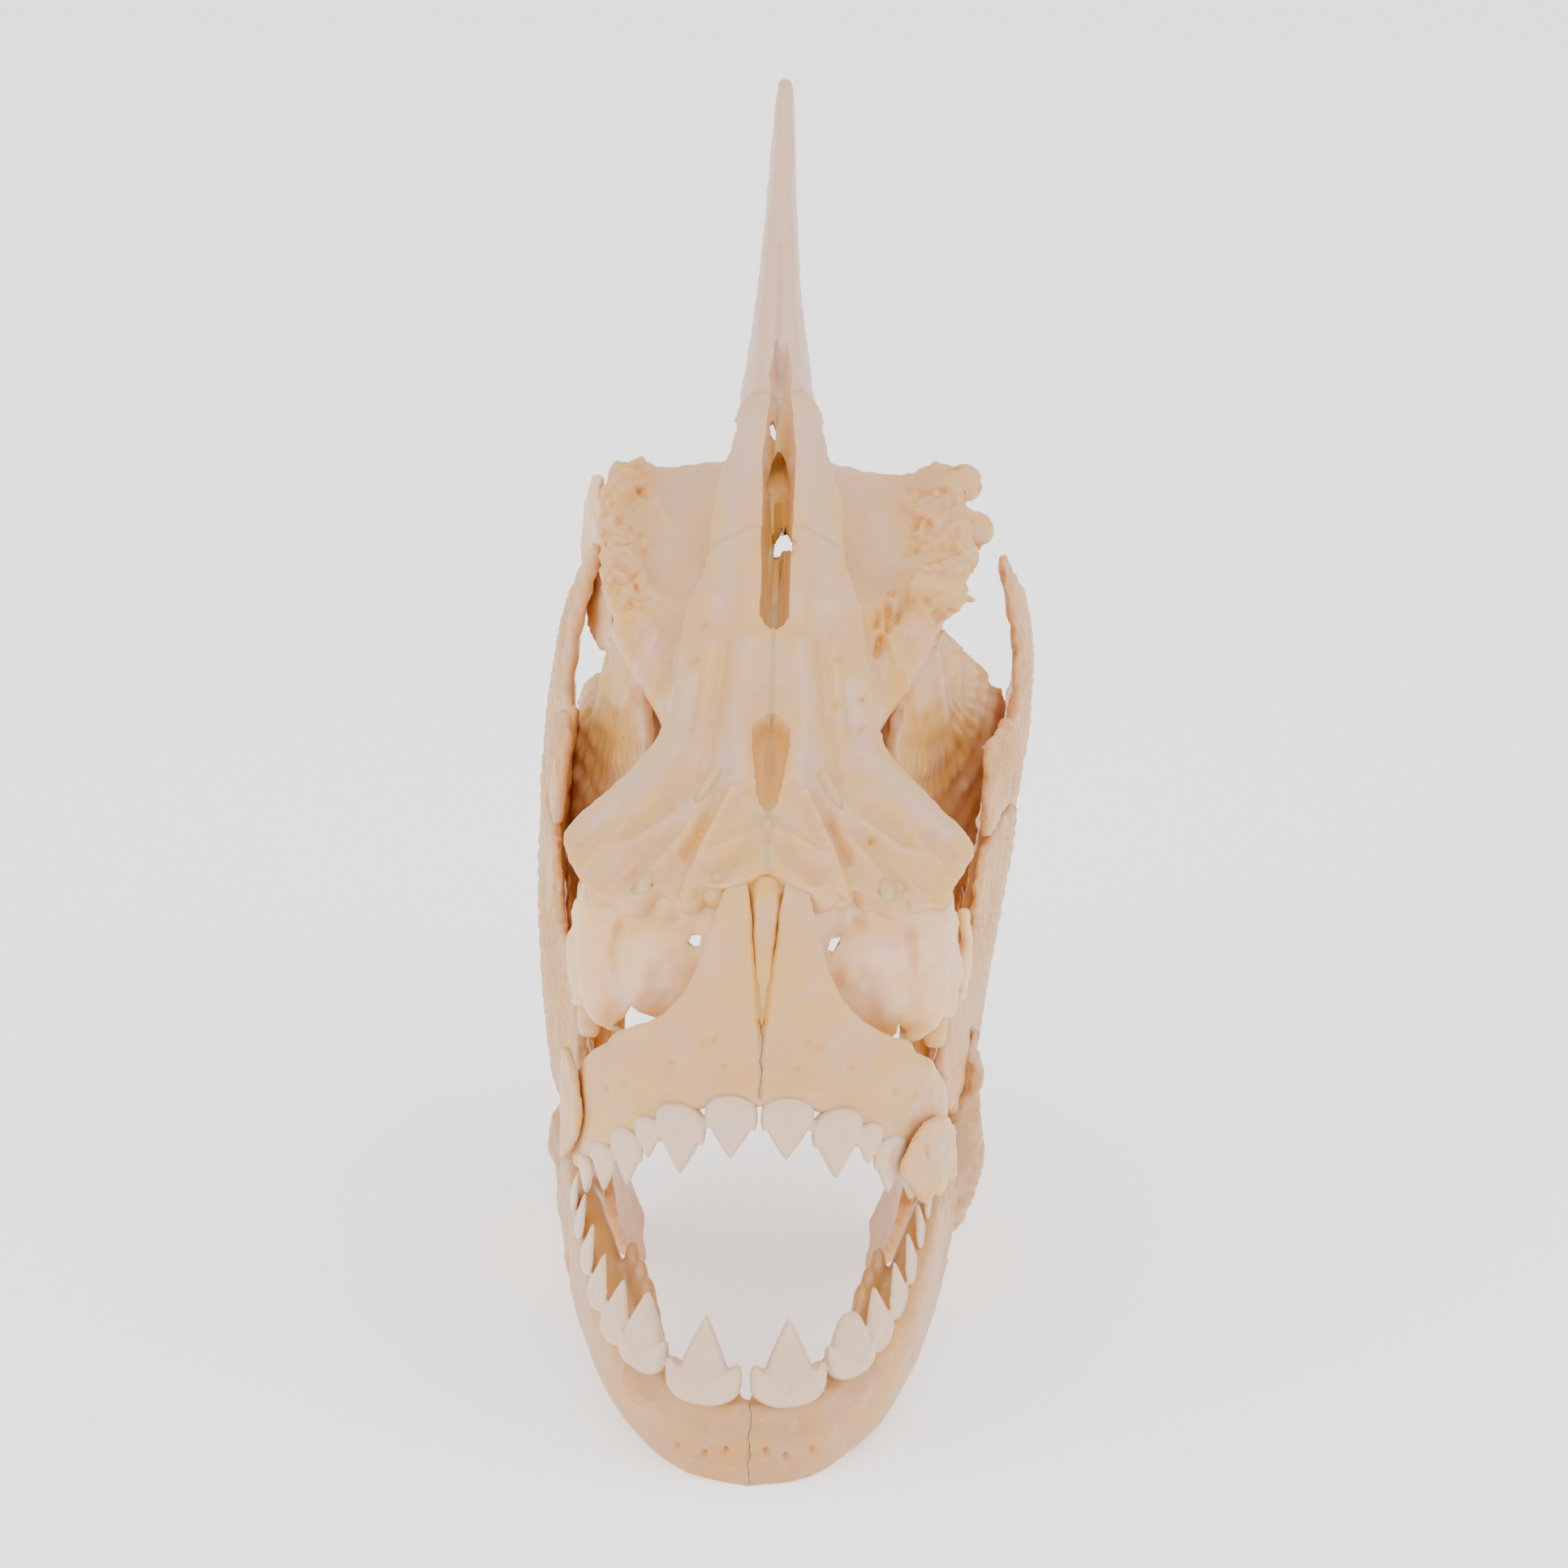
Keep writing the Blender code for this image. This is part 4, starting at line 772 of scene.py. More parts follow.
INNER_RODS = ((((11.2, 15.2, 39.6), (12, 15.6, 35), (11.4, 15.6, 30.2)), (0.9, 0.6, 0.6)),
              (((3.8, 14.4, 40.4), (7.6, 14.2, 40), (11.6, 15.2, 40.2)), (1.1, 1.2, 1)))
WALL_RODS = {1: (OUTER_ROD, SPARE_ROD, *INNER_RODS), -1: (OUTER_ROD, *INNER_RODS)}
FACE = ((26, 7.3), (30, 7.6), (34, 8.8), (38, 10.3), (41.5, 11.8))  # z and y of the snout
face_y = rail(*FACE)


def dish_surface(x, z):
    """Return the middle of the thin wall behind the nose."""
    return x, 15.4 - 0.55 * max(8 - abs(x), 0) + 0.01 * (abs(x) - 8) ** 2, z


block = grow("mesethmoid_bone", [
    solid_of("mesethmoid"),
    rod([(0, face_y(z) + 0.5, z) for z in (31, 33, 36, 39, 41.6)], (0.25, 0.5, 0.85, 1.1, 1.3)),
    *[lump((x, 12.8, z), (r, r, r), 3) for x, z, r in (
        (-3.4, 40.6, 1.5), (3.5, 40.4, 1.6), (-1.6, 41.6, 1.3), (1.7, 41.5, 1.3), (5, 40.4, 1.2),
        (-5.2, 40.3, 1.2))]], SNOUT_GRAIN, 6, 0.05)
fillet(block, 60)
roughen(block, (1.4, 0.12, 51), (0.7, 0.04, 52))
# The amber lines beside the spine are painted shade of the gaps there, as well as fat.
oil(block, ([(-1.2, 42), (-0.7, 36), (-0.3, 33)], 0.28, 1),
    ([(1.2, 42), (0.7, 36), (0.3, 33)], 0.28, 1), ([(-0.6, 42.6), (0.6, 42.6)], 0.6, 0.5))
seat(block, COMPACT, "dense_bone", "mesethmoid", fat_and_shade=0.6)
for side, label in SIDES:
    node = "lateral_ethmoid_" + label
    dish = sheet(flip(side, (2.6, 38.2), (3.6, 33.4), (5.6, 29.4), (9, 28.2), (12.4, 29.6), (13.2, 35),
                      (12.8, 40), (8, 41.4), (3.6, 40.8)), dish_surface, 1.5, 1.2)
    capsule = grow(node + "_bone", [
        lump((8.2 * side, 16.7, 33.8), (4.9, 2.9, 6.7)), lump((6 * side, 15, 36), (3, 2, 5)),
        dish, *[rod(path, radii) for path, radii in mirrored(side, *WALL_RODS[side])]], SNOUT_GRAIN, 6)
    fillet(capsule, 120)
    relax(capsule, 4)
    roughen(capsule, (2, 0.2, 61 + side), (0.9, 0.09, 71 + side))
    carve(capsule, *mirrored(side,
        ([(8.6, 37), (8.8, 34)], 0.9, 0.3), ([(6.6, 40.4)], 0.5, -0.6),
        ([(10.8, 40.4), (11.2, 38), (10.8, 35.6)], 0.35, 0.25),
        ([(10.2, 39.6), (10.5, 37.6)], 0.25, -0.3), ([(6.6, 38.6), (9.2, 38.8)], 0.3, -0.15)))
    for outline in NOSE_HOLES[side]:
        pierce(capsule, outline, 8, 30)
    relax(capsule, 2)
    oil(capsule, *mirrored(side,
        ([(5.4, 39.6), (10.8, 39.6)], 0.8, 0.4), ([(5, 38), (5.6, 34)], 0.6, 0.35),
        ([(6.4, 32.8), (10.4, 32.6)], 0.7, 0.5), ([(11, 38), (11.2, 33)], 0.5, 0.35)))
    seat(capsule, NOSE, "thin_bone", node, fat_and_shade=0.25)

# The upper jaw: on each side an arch that holds the teeth and a process that rises to the snout.
# Compact bone with yellow pits where the lip's vessels left it; the two sides meet in a wavy seam.
JAW_GRAIN = 0.2
TOOTH_GRAIN = 0.11
UPPER_SPAN = (0, 0.25, 0.48, 0.68, 0.85, 1)
UPPER_X = (-0.4, 4, 7.6, 10.4, 12.4, 13.5)
UPPER_Y = (5.6, 6, 7.7, 10.3, 13.6, 17.4)
UPPER_EDGE = (26.4, 26, 24.1, 21.6, 19.2, 16.8)
UPPER_TALL = (5.6, 5.8, 6.7, 7.9, 8.5, 7.6)
UPPER_WALL = (2.4, 2.5, 2.5, 2.3, 2.1, 1.6)
UPPER_TEETH = (  # place along the jaw, width and height
    (0.136, 3.7, 4.9), (0.366, 3.8, 5.4), (0.515, 2.2, 3.2), (0.635, 3.2, 4.4),
    (0.77, 3.2, 3.9), (0.9, 2.8, 3.3))
ROOT_RISE = 0.9  # the upper roots reach this far over the jaw's edge
SEAM = 0.02  # half the gap left between the two sides
PROCESS = ((0, 27.6), (0, 31), (0.12, 33.6), (0.62, 36.4), (0.98, 39.4), (1.5, 41.6), (2.6, 41),
           (3.5, 38.2), (4.4, 35.4), (5.5, 33.2), (7, 31.4), (8.8, 30), (10.2, 28.6),
           (9.4, 27), (7, 26.6), (4, 27.2))
UPPER_PITS = (((4, 31.4), 0.42), ((3.3, 31.7), 0.25), ((6.4, 30), 0.28), ((9.6, 28.4), 0.25),
              ((11, 28), 0.25), ((2.6, 29.8), 0.2))


def along_jaw(curves, place, side):
    """Return the point on a jaw's tooth line, the way along it and the way outwards."""
    x, y, z = (curve(place) for curve in curves[:3])
    ahead = Vector([curve(min(place + 0.01, 1)) for curve in curves[:3]])
    behind = Vector([curve(max(place - 0.01, 0)) for curve in curves[:3]])
    run = ahead - behind
    run = Vector((run.x, run.y, 0)).normalized()
    out = Vector((run.y, -run.x, 0))
    hand = Vector((side, 1, 1))
    return Vector((x, y, z)) * hand, run * hand, out * hand


def keep_side(piece, side):
    """Cut off what reaches over the middle of the skull, along a slightly wavy seam."""
    seam = [(0.06 * math.sin(2.9 * z) + 0.04 * math.sin(6.1 * z) + SEAM * side, z)
            for z in np.linspace(-2, 46, 160)]
    outer = [(-40 * side, 46), (-40 * side, -2)]
    cut(piece, loft([[Vector((x, y, z)) for x, z in [*seam, *outer]] for y in (-40, 60)]))


def tooth(base, run, up, out, width, height, blade, shoulder, sink, thick, flat=1.0):
    """Return the closed shell of a cutting tooth: a blade between two low cusps over a round root.

    blade is the width of the blade's foot, shoulder the height of the cusps and sink how far the
    root reaches under the base, all as shares of the width or height, as is thick, the thickness
    either way; flat cuts off the tip.
    """
    half = width / 2
    wide_at = 0.45 * shoulder * height
    outline = [(half * math.cos(t), wide_at + (wide_at + sink * height) * math.sin(t))
               for t in np.linspace(0, -math.pi, 15)]
    side = [(half * 1.02, 0.75 * shoulder * height), (half * 0.98, 1.00 * shoulder * height),
            (half * 0.9, 1.1 * shoulder * height),
            (half * (0.35 + 0.6 * blade), 0.98 * shoulder * height),
            (half * blade, 0.95 * shoulder * height)]
    blade_side = [(half * blade * (1 - f) ** 0.92, (shoulder + (1 - shoulder) * f) * height)
                  for f in (0.25, 0.5, 0.75, 0.9, 1)]
    right = [*side, *blade_side]
    outline += [(-x, z) for x, z in right] + right[-2::-1]
    centre_z = 0.3 * shoulder * height
    deep = thick * width
    rings = []
    for share, depth in ((0.06, -1), (0.45, -0.9), (0.85, -0.65), (1, -0.22), (1, 0.22),
                         (0.88, 0.62), (0.5, 0.92), (0.06, 1)):
        ring = []
        for x, z in outline:
            z = min(z, flat * height)
            tip = max((z - shoulder * height) / (height * (1 - shoulder)), 0)
            ring.append(base + out * (deep * depth - 0.25 * deep * tip) + run * (x * share)
                        + up * (centre_z + (z - centre_z) * share))
        rings.append(ring)
    return loft(rings)


def upper_ring(place, side):
    """Return the section of the upper jaw at a place along it."""
    point, _, out = along_jaw(upper_curves, place, side)
    tall, wall = (curve(place) for curve in upper_curves[3:])
    lean = float(np.interp(place, (0.4, 0.62, 0.85), (0.42, 0.2, 0)))
    top = point + Vector((0, 0, tall)) - out * lean * tall
    return section((point - out * wall, point, top, top - out * 0.8 * wall))


def lip_y(x, z):
    """Return the depth of the middle of the process, which lies flush with the arch below it."""
    place = float(np.interp(x, [upper_curves[0](p) for p in PLACES], PLACES))
    arch_face = upper_curves[1](place) + 0.38 * max(z - upper_curves[2](place), 0) + 0.8
    share = min(max((z - 29.5) / 5, 0), 1)
    share = share * share * (3 - 2 * share)
    return (1 - share) * arch_face + share * (face_y(z) + 0.05 * x * x)


PLACES = np.linspace(0, 1, 60)
ENAMEL = blank("tooth_enamel")[0]  # its looks follow in a section of their own
upper_curves = rails(UPPER_SPAN, UPPER_X, UPPER_Y, UPPER_EDGE, UPPER_TALL, UPPER_WALL)
for side, label in SIDES:
    node = "premaxilla_" + label
    arch = loft([upper_ring(place, side) for place in PLACES])
    process = sheet(PROCESS, lambda x, z: (x * side, lip_y(x, z), z), 1.7, 1)
    premaxilla = grow(node + "_bone", [arch, process], JAW_GRAIN, 12, 0.03)
    fillet(premaxilla, 260)
    relax(premaxilla, 6)
    roughen(premaxilla, (2.4, 0.1, 81 + side), (0.7, 0.02, 83 + side))
    holes = [([(x * side, v)], size) for (x, v), size in UPPER_PITS]
    carve(premaxilla, *[(hole, size, -0.22) for hole, size in holes], *mirrored(side,
        ([(0.8, 40), (0.5, 36), (0.2, 33)], 0.3, -0.25),
        ([(2.2, 40), (3.4, 35), (4.2, 32.6)], 1, 0.25), ([(0, 33), (0, 27.6)], 0.25, -0.3)))
    keep_side(premaxilla, side)
    crisp(premaxilla)
    # The amber line along the process's inner edge is painted shade of the gap beside the spine, as well
    # as fat.
    oil(premaxilla, *[(hole, 1.3 * size, 0.45) for hole, size in holes], *mirrored(side,
        ([(0.85, 41), (0.6, 37), (0.2, 33)], 0.3, 0.9),
        ([(1, 28.6), (4, 28.6), (7.5, 27.6)], 1.1, 0.3), ([(8, 24.6), (10, 24.4)], 0.4, 0.3),
        ([(13.3, 29), (12.9, 27.4), (12.6, 25)], 0.35, 0.7)))
    seat(premaxilla, COMPACT, "dense_bone", node, fat_and_shade=0.8)
    shells = []
    for place, width, height in UPPER_TEETH:
        point, run, out = along_jaw(upper_curves, place, side)
        base = point - out * 0.19 * width + Vector((0, 0, ROOT_RISE))
        thick = 0.22 if place < 0.6 else 0.16
        down = Vector((0, 0, -1))
        shells.append(tooth(base, run, down, out, width, height, 0.84, 0.48, 0.02, thick))
    teeth = grow("upper_teeth_" + label, shells, TOOTH_GRAIN, 2)
    seat(teeth, ENAMEL, "dense_bone")

# The lower jaw: the dentary with its great cutting teeth, and the bone behind it with the joint.
# Thick compact bone; small holes for vessels run along the chin, and spongy bone shows inside.
JAW_SPAN = (0, 0.16, 0.36, 0.56, 0.76, 1)
JAW_X = (-0.4, 4.25, 8.8, 11.85, 13.5, 14.7)
JAW_Y = (-0.3, 0.7, 4.4, 9.6, 17.4, 30.6)
JAW_TOP = (5.9, 6.2, 7.7, 10.7, 15, 14.2)
JAW_LOW = (-1.4, -1.3, -0.6, 0.9, 3.9, 8.2)
JAW_TOP_WALL = (2.4, 2.6, 3.5, 3.8, 2.8, 2.2)
JAW_LOW_WALL = (5.6, 4.6, 3.6, 3.6, 3, 2.6)
JAW_SETBACK = (0, 1, 2.3, 1.8, 0.8, 0.1)
JAW_SPLIT = 0.8  # where along the jaw the tooth bone ends
JOINT_GRAIN = 0.24
# Jaw bone, thick and never quite free of fat: the tannest bone of the skull
JAWBONE = bone_finish("jaw_bone", "#C18F60", "#C89450", "#EBBE74", "#C49A7E", 0.42)
LOWER_TEETH = (  # place along the jaw, width, height, and blade and thickness as shares of width
    (0.125, 5.5, 6.2, 0.62, 0.2), (0.32, 4.7, 5.6, 0.78, 0.2), (0.448, 3.5, 4.6, 0.86, 0.14),
    (0.544, 3.2, 4, 0.88, 0.1), (0.622, 3, 3.6, 0.88, 0.09), (0.69, 2.7, 3.2, 0.88, 0.09),
    (0.75, 2.4, 2.8, 0.88, 0.09))
TIP_WORN = 0.8  # the second lower tooth on the left ends at this share of its height
RIBS = 55  # ribs in a full turn near the heart of a plate, and twice as many near its rim
LOWER_ROW_SHIFT = -0.4  # the teeth stand this far to the skull's right
CHIN_HOLES = ((-5.2, 2.7), (-3.2, 2.3), (-1.7, 2.6), (1.2, 2.6), (2.6, 2.3), (4.5, 2.8))
lower_curves = rails(
    JAW_SPAN, JAW_X, JAW_Y, JAW_TOP, JAW_LOW, JAW_TOP_WALL, JAW_LOW_WALL, JAW_SETBACK)


def lower_ring(place, side):
    """Return the section of the lower jaw at a place along it."""
    point, _, out = along_jaw(lower_curves, place, side)
    low, top_wall, low_wall, setback = (curve(place) for curve in lower_curves[3:])
    foot = Vector((point.x, point.y, low))
    return section((foot - out * (setback + low_wall), foot - out * setback, point,
                    point - out * top_wall))


def on_floor(piece):
    """Flatten what would reach under the floor."""
    at = points(piece)
    at[:, 2] = np.maximum(at[:, 2], 0)
    put(piece, at)


def weather(piece, heart, depth, worn, seed):
    """Give a plate its ribs, which run out from the heart of its growth, and a thin, worn rim."""
    at, way = points(piece), normals(piece)
    frame_of = np.linalg.svd(at[::5] - at.mean(0), full_matrices=False)[2]
    along, wide = (at - heart) @ frame_of[0], (at - heart) @ frame_of[1]
    facing = np.abs(way @ frame_of[2])
    reach = np.hypot(along, wide)
    turn = np.arctan2(wide, along) + 0.05 * grit(at, 4, seed)
    rays = (np.sin(turn * RIBS) * np.clip(1.6 - reach / 12, 0, 1)
            + np.sin(turn * 2 * RIBS + 1) * np.clip(reach / 12 - 0.5, 0, 1))
    rays *= 0.6 + 0.4 * grit(at, 3, seed + 1)
    rings = 0.5 * np.sin(reach * math.tau / 2.3 + 1.5 * grit(at, 3, seed + 2))
    rim = np.flatnonzero(facing < 0.5)
    if len(rim) > 20:
        tree = KDTree(len(rim))
        for index in rim:
            tree.insert(at[index], int(index))
        tree.balance()
        found = [tree.find(point) for point in at]
        gap = np.array([item[2] for item in found])
        lead = way[[item[1] for item in found]]
        bite = np.clip(grit(at, 1.9, seed + 3) + 0.7 * grit(at, 0.8, seed + 4) + 0.1, 0, 1.2)
        near = np.exp(-(gap / 1.1) ** 2)
    else:
        lead, bite, near = way, np.zeros(len(at)), np.zeros(len(at))
    shape = 1.8 * depth * (rays + rings) * np.clip(facing * 1.5 - 0.5, 0, 1) * np.clip(reach / 4, 0, 1)
    at = at + way * (shape - 0.1 * near * facing)[:, None] - lead * (worn * bite * near)[:, None]
    put(piece, at)
    mark(piece, "edge", min(0.7 * worn, 0.40) * near * (0.6 + 0.4 * grit(at, 2.0, seed + 5)))


for side, label in SIDES:
    node = "dentary_" + label
    body = loft([lower_ring(place, side) for place in np.linspace(0, JAW_SPLIT, 70)])
    sockets, shells = [], []
    for number, (place, width, height, blade, thick) in enumerate(LOWER_TEETH):
        point, run, out = along_jaw(lower_curves, place, side)
        inward = 0.2 if number < 2 else 0.26
        drop = 0 if number < 2 else 0.7
        base = point - out * inward * width + Vector((LOWER_ROW_SHIFT, 0, -drop))
        if number < 2:
            sockets.append(lump(base - out * 0.16 * width + Vector((0, 0, -1.2)),
                                (0.46 * width, 0.3 * width, 0.5 * width), 3))
        flat = TIP_WORN if (number == 1 and side > 0) else 1
        up = Vector((-0.12 * side * (number > 1), 0, 1))
        shells.append(tooth(base, run, up, out, width, height, blade, 0.42, 0.08, thick, flat))
    spongy = [lump((x * side, y, z), (0.55 * r, 1.2 * r, 1.6 * r), 3) for x, y, z, r in (
        (6.7, 6.8, 6, 1.1), (7, 7.6, 7.4, 1.2), (7.3, 8.8, 8.6, 1.1), (7.7, 9.8, 9.8, 1.2),
        (8.2, 11.2, 10.8, 1.1), (8.8, 12.6, 11.8, 1))]
    dentary = grow(node + "_bone", [body, *sockets, *spongy], JAW_GRAIN, 10, 0.05)
    fillet(dentary, 60)
    on_floor(dentary)
    roughen(dentary, (3, 0.1, 91 + side), (0.7, 0.02, 93 + side))
    holes = [[(x, v)] for x, v in CHIN_HOLES if x * side > 0]
    carve(dentary, *[(hole, 0.22, -0.5) for hole in holes], *mirrored(side,
        ([(0, 4.3), (3, 4.2), (6, 5.6), (9, 9)], 0.8, -0.22),
        ([(0, 6.8), (0, 2.4)], 0.2, -0.2), ([(0, 1.4), (4, 1.6)], 1, 0.18),
        ([(2.4, 3.4), (5, 3.8)], 0.8, 0.15)))
    keep_side(dentary, side)
    on_floor(dentary)
    crisp(dentary)
    oil(dentary, *[(hole, 0.26, 0.8) for hole in holes], *mirrored(side,
        ([(8.6, 10), (10.6, 14), (11.8, 19)], 0.8, 0.45),
        ([(10.6, 9), (12.4, 14), (13.2, 19)], 1.6, 0.14), ([(0, 6.6), (0.3, 6)], 0.3, 0.3)))
    seat(dentary, JAWBONE, "dense_bone", node, fat_and_shade=0.5)
    teeth = grow("lower_teeth_" + label, shells, TOOTH_GRAIN, 2)
    seat(teeth, ENAMEL, "dense_bone")

    node = "anguloarticular_" + label
    brace = rod([(15, 30.4, 15), (15.4, 30.8, 19), (15.2, 31, 23.6)], (1, 0.7, 0.5))
    solids = [solid_of(node), brace] if side > 0 else [solid_of(node)]
    angular = grow(node + "_bone", solids, JOINT_GRAIN, 14, 0.12)
    roughen(angular, (2, 0.16, 95 + side), (0.9, 0.1, 97 + side))
    if side > 0:
        weather(angular, (15, 22, 12), 0.06, 0.6, 305)
    seat(angular, JAWBONE, "dense_bone", node, fat_and_shade=0.5)

# Tooth enamel over dentine: cooler and smoother than the bone, with faint milky bands.
# It is hard and polished by use, so it is the glossiest thing on the skull.
tree = ENAMEL.node_tree
place = add(tree, "ShaderNodeTexCoord")
bands = add(tree, "ShaderNodeTexNoise", [("Vector", place, "Object")],
            {"Scale": 1 / (2.2 * MM), "Detail": 3.0, "Roughness": 0.5})
milk = add(tree, "ShaderNodeMapRange", [("Value", bands, "Fac")], {"From Min": 0.35, "From Max": 0.7})
# In the hollows the enamel turns darker and warmer: painted shade, with some fat.
hollow_fat_and_shade = add(tree, "ShaderNodeAttribute", attribute_name="hollow_fat_and_shade")
colour = add(tree, "ShaderNodeMix", [("Factor", milk, "Result")],
             {6: linear("#D8BAA2"), 7: linear("#D9B894")}, data_type="RGBA")
warmed = add(tree, "ShaderNodeMix", [("Factor", hollow_fat_and_shade, "Fac"), (6, colour, 2)],
             {7: linear("#CFA878")}, data_type="RGBA")
# The enamel's fine unevenness, drawn coarser than life
craze = add(tree, "ShaderNodeTexNoise", [("Vector", place, "Object")],
            {"Scale": 1 / (0.35 * MM), "Detail": 2.0})
relief = add(tree, "ShaderNodeBump", [("Height", craze, "Fac")],
             {"Strength": 0.10, "Distance": 0.04 * MM})
shader = add(tree, "ShaderNodeBsdfPrincipled", [("Base Color", warmed, 2), ("Normal", relief, "Normal")],
             {"IOR": 1.62, "Roughness": 0.30, "Subsurface Weight": 0.35,
              "Subsurface Radius": (1.0, 0.75, 0.6), "Subsurface Scale": 1.2 * MM})
add(tree, "ShaderNodeOutputMaterial", [("Surface", shader, "BSDF")])

# The plates of the gill covers and cheeks, the palate behind them and the ties to the skull.
# Each grew outwards from one point, so ribs run out from there to a thin, worn and ragged rim.
PLATE_GRAIN = 0.28
LOBE_GRAIN = 0.17
# Gill covers and cheek plates: tanner than the skull, from the skin that dried on them
GILL = bone_finish("gill_cover_bone", "#CC9254", "#D29C4E", "#EEC47E", "#C99C72", 0.55, 0.30, 0.20)
# The palate's plates, seen through the open mouth: smooth and evenly stained by fat
PALATE = bone_finish("palate_bone", "#D69C50", "#D49A48", "#E8B866", "#D6A468", 0.50, 0.30, 0.20)
SMOOTH_UP_TO = 0.08  # plates with less wear than this are smooth
PLATES = (  # node, where it began to grow, wear of its rim, finish, share of fat and painted shade in its hollows
    ("opercle", (16, 47, 40), 0.45, GILL, 0.8),
    ("preopercle", (15, 45, 14), 0.12, PALATE, 0.8),
    ("subopercle", (14, 51.5, 8), 0.1, PALATE, 0.8),
    ("interopercle", (13, 49, 5), 0.06, PALATE, 0.8),
    ("infraorbital_3", (15, 33, 34), 0.55, GILL, 0.8),
    ("infraorbital_4", (15.5, 36.5, 38), 0.5, GILL, 0.8),
    ("hyomandibula", (11, 39, 48), 0.55, THIN, 0.2),
    ("quadrate", (12, 30.5, 15), 0, PALATE, 0.3),
    ("pterygoid", (10.5, 30, 28), 0, PALATE, 0.3),
    ("antorbital", (12.4, 16.6, 30), 0.05, THIN, 0.5))
CHEEK_RIDGES = (  # strokes on the hyomandibula: path, width and height
    ([(11.6, 60.6), (12.4, 56), (13.4, 51)], 0.4, 0.45),
    ([(13.2, 59.6), (13.6, 55), (14.2, 50)], 0.35, 0.4),
    ([(12.2, 60), (12.9, 55.4), (13.8, 50.4)], 0.25, -0.35),
    ([(10.2, 56), (11.2, 51)], 0.4, 0.4), ([(14.8, 58.6), (14.8, 54)], 0.3, 0.3))
JAW_STEP = 0.067  # share of the upper jaw that one millimetre along it takes up
MAXILLAE = {  # where it starts on the upper jaw, and its outline over the jaw
    1: (0.64, ((0.1, 20.6), (0.5, 22.2), (1.6, 23.4), (3, 23.4), (4.3, 22.4), (5.4, 20.6), (5.9, 18.6),
               (5.2, 17.4), (4.2, 17.9), (3.4, 17.2), (2.6, 17.9), (1.9, 17.5), (1.1, 18.9))),
    -1: (0.84, ((0.2, 23), (1, 25.6), (2.6, 26.2), (4.6, 24.6), (5.4, 21), (4.4, 18.2),
                (2.6, 17.8), (0.8, 20.2)))}
TIE_SHIFT = (-0.45, -2.2, 0)  # the posttemporal stands this much further out and forward


def over_jaw(start, side, off):
    """Return a surface that lies this far off the upper jaw and runs on straight behind its end."""
    def surface(u, z):
        place = start + JAW_STEP * u
        point, _, out = along_jaw(upper_curves, min(place, 1), side)
        back = max(place - 1, 0) / JAW_STEP
        return point.x + out.x * off, point.y + out.y * off + back, z
    return surface


for number, (bone, heart, worn, finish, fat_and_shade) in enumerate(PLATES):
    for side, label in SIDES:
        node = f"{bone}_{label}"
        rounds = 40 if worn < SMOOTH_UP_TO else 10
        plate = grow(node + "_bone", [solid_of(node)], PLATE_GRAIN, rounds, 0.08)
        depth = 0.07 if worn > SMOOTH_UP_TO else 0.02
        weather(plate, *flip(side, heart), depth, worn, 100 + 10 * number + side)
        if bone == "hyomandibula":
            carve(plate, *mirrored(side, *CHEEK_RIDGES))
            oil(plate, *mirrored(side,
                ([(9.6, 57.6), (10.4, 54)], 0.7, 0.45), ([(11, 54.6), (12.2, 48.4)], 0.6, 0.35),
                ([(12.4, 50.6), (13.6, 48.6)], 0.8, 0.25),
                ([(10.4, 57), (11.6, 54), (13.4, 53)], 1.2, 0.22 + 0.16 * side)))
        if bone == "infraorbital_4":
            oil(plate, *mirrored(side, ([(13.6, 48), (13.2, 44)], 0.6, 0.4)))
        seat(plate, finish, "thin_bone", node, fat_and_shade=fat_and_shade)
for side, label in SIDES:
    start, outline = MAXILLAE[side]
    lobe = sheet(outline, over_jaw(start, side, 0.5), 0.55, 1)
    lobe = grow(f"maxilla_{label}_bone", [lobe], LOBE_GRAIN, 6, 0.03)
    roughen(lobe, (1.6, 0.1, 401 + side), (0.7, 0.05, 403 + side))
    if side > 0:
        pierce(lobe, ((13.1, 20.5), (13.3, 21.2), (13.9, 21.4), (14.1, 20.8), (13.7, 20.3)), 5, 30)
        carve(lobe, ([(12, 24.5), (12.1, 23.7)], 0.14, -0.4), ([(10.8, 25), (12.4, 25.6)], 0.2, -0.15))
        oil(lobe, ([(13.6, 20.8)], 0.6, 0.8), ([(12, 24.4), (12.1, 23.8)], 0.15, 0.9),
            ([(11.6, 20), (12.4, 21)], 0.6, 0.4))
    seat(lobe, COMPACT, "thin_bone", "maxilla_" + label, fat_and_shade=0.4)
tie = grow("posttemporal_right_bone", [solid_of("posttemporal_right")], PLATE_GRAIN, 10, 0.08)
put(tie, points(tie) + TIE_SHIFT)
weather(tie, (-13.5, 50, 54), 0.06, 0.2, 300)
# The posttemporal takes the nose walls' paler finish: painted light over the shade it lies in.
seat(tie, NOSE, "thin_bone", "posttemporal_right", fat_and_shade=0.4)

# Amber in the hollows of a boiled skull: partly fat that stays there and turns amber as it dries, partly
# painted shade.
# Both are laid where bone stands close all round, so they are found by how much bone is near a point.
CELL = 0.6  # size of the cells in which bone is counted, in millimetres
NEAR = 2.2  # how far off the surface the count is taken
MARGIN = 8  # empty space kept round the skull, in millimetres
OPEN = 0.12  # share of cells with bone up to which no fat or painted shade is laid


def spread(field, reach):
    """Blur a field of cells by a box of so many cells each way, three times over."""
    for _ in range(3):
        for axis in range(3):
            total = np.zeros_like(field)
            for step in range(-reach, reach + 1):
                total += np.roll(field, step, axis)
            field = total / (2 * reach + 1)
    return field


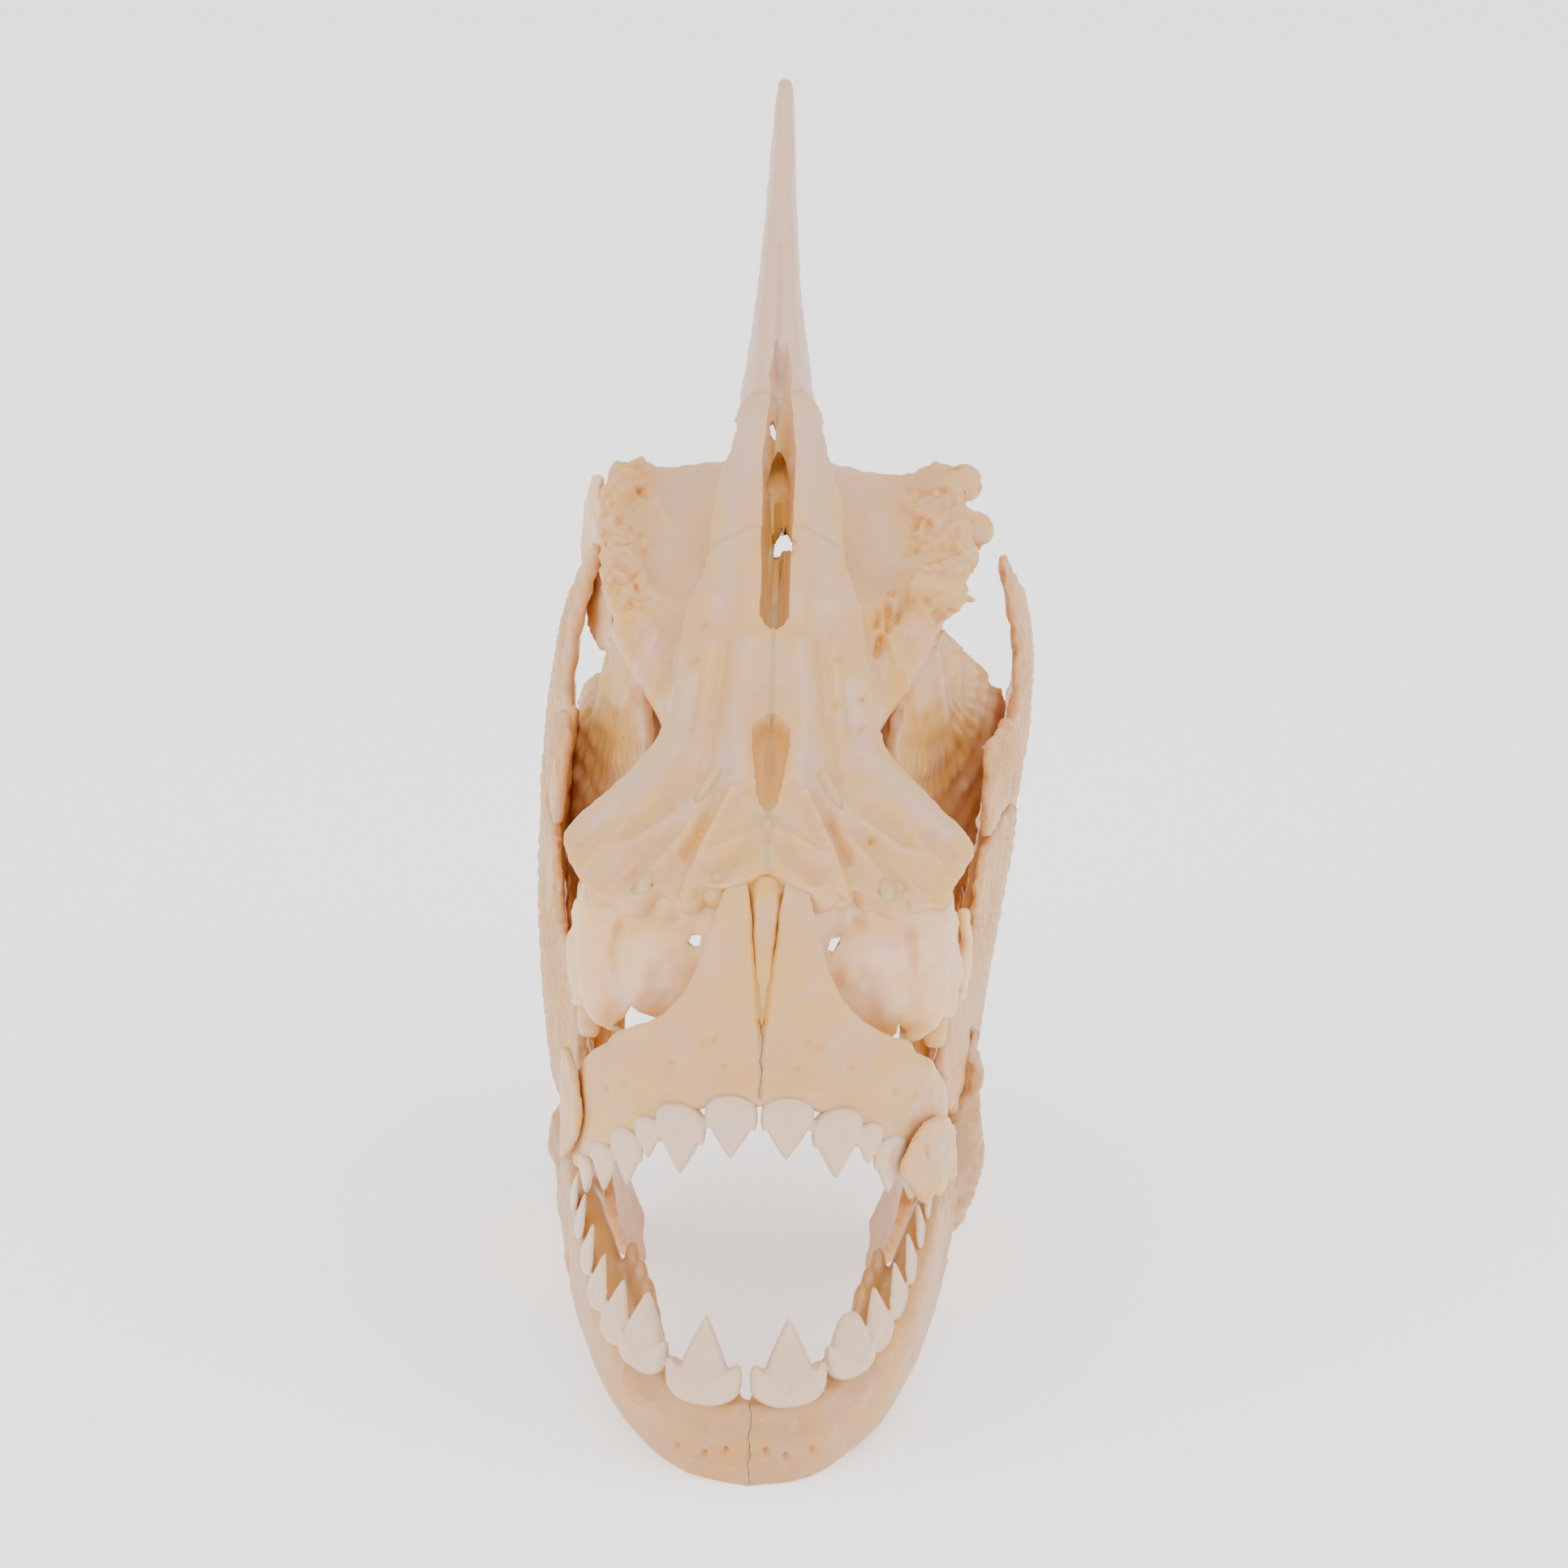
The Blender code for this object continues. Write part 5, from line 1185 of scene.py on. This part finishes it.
everything = [points(piece) / MM for piece, _ in BONES]
low = np.min([at.min(0) for at in everything], axis=0) - MARGIN
high = np.max([at.max(0) for at in everything], axis=0) + MARGIN
cells = np.zeros(np.ceil((high - low) / CELL).astype(int) + 1, np.float32)
for at in everything:
    index = ((at - low) / CELL).astype(int)
    cells[index[:, 0], index[:, 1], index[:, 2]] = 1
cells = spread(cells, 2)
for (piece, fat_and_shade), at in zip(BONES, everything):
    index = ((at + NEAR * normals(piece) - low) / CELL).astype(int)
    count = cells[index[:, 0], index[:, 1], index[:, 2]]
    mark(piece, "hollow_fat_and_shade", np.clip((count - OPEN) / 0.30, 0, 1) ** 1.3 * 0.75 * fat_and_shade)

# The table it stands on: a plain pale sheet, evenly lit.
# The light is that of a photographer's tent: soft from above and both sides, with little shadow.
disc = bmesh.new()
bmesh.ops.create_circle(disc, cap_ends=True, segments=96, radius=1.6)
ground = solidify("ground", disc)
paper, tree = blank("white_card")
place = add(tree, "ShaderNodeTexCoord")
# The sheet's fibres, drawn coarser than life
fibre = add(tree, "ShaderNodeTexNoise", [("Vector", place, "Object")],
            {"Scale": 1 / (1.5 * MM), "Detail": 2.0})
relief = add(tree, "ShaderNodeBump", [("Height", fibre, "Fac")],
             {"Strength": 0.04, "Distance": 0.02 * MM})
shader = add(tree, "ShaderNodeBsdfPrincipled", [("Normal", relief, "Normal")],
             {"Base Color": linear("#F7F7F7"), "Roughness": 0.9, "Specular IOR Level": 0.1,
              "Emission Color": (1.0, 1.0, 1.0, 1.0), "Emission Strength": 0.8})
add(tree, "ShaderNodeOutputMaterial", [("Surface", shader, "BSDF")])
ground.data.materials.append(paper)

sky = bpy.data.worlds.new("light_tent")
bpy.context.scene.world = sky
sky.use_nodes = True
glow = sky.node_tree.nodes["Background"].inputs
glow["Color"].default_value = (1.0, 0.985, 0.965, 1.0)
glow["Strength"].default_value = 1.25
MIDDLE = Vector((0, 0, 0.04))  # the middle of the skull, in metres, which the lamps are turned to
LAMPS = (  # name, place in metres, width in metres, power in watts
    ("overhead", (0.05, -0.10, 0.55), 0.45, 1.6), ("left_bank", (-0.42, -0.36, 0.26), 0.35, 0.9),
    ("right_bank", (0.46, -0.30, 0.22), 0.35, 0.6))
for name, place, size, power in LAMPS:
    light = bpy.data.lights.new(name, "AREA")
    light.size = size
    light.energy = power
    lamp = hold(name, light)
    lamp.location = place
    lamp.rotation_euler = (MIDDLE - Vector(place)).to_track_quat("-Z", "Y").to_euler()

# The camera looks at the front from 20 degrees above, with a long lens, turned a little on its axis.
# Its distance and the width of its view put the skull where it is in the picture that it follows.
ROLL = math.radians(1.7)
DISTANCE = 1  # metres
VIEW_WIDTH = 0.1113  # width of the view at the skull, in metres
AIM_ACROSS = 0.00105  # the view's middle, across from the chin and up the view
AIM_UP = 0.0499
CHIP_WIDTH = 36  # width of the camera's chip, in millimetres
eye_way = Vector(TO_EYE)
up_view = Vector((0, math.sin(TILT), math.cos(TILT)))
aim = Vector((AIM_ACROSS + CHIN.x * MM, CHIN.y * MM, 0)) + up_view * AIM_UP
camera = hold("camera", bpy.data.cameras.new("camera"))
camera.data.lens = CHIP_WIDTH * DISTANCE / VIEW_WIDTH
camera.data.clip_end = 10
camera.location = aim + eye_way * DISTANCE
turned = eye_way.to_track_quat("Z", "Y").to_matrix() @ Matrix.Rotation(ROLL, 3, "Z")
camera.rotation_euler = turned.to_euler()
bpy.context.scene.camera = camera
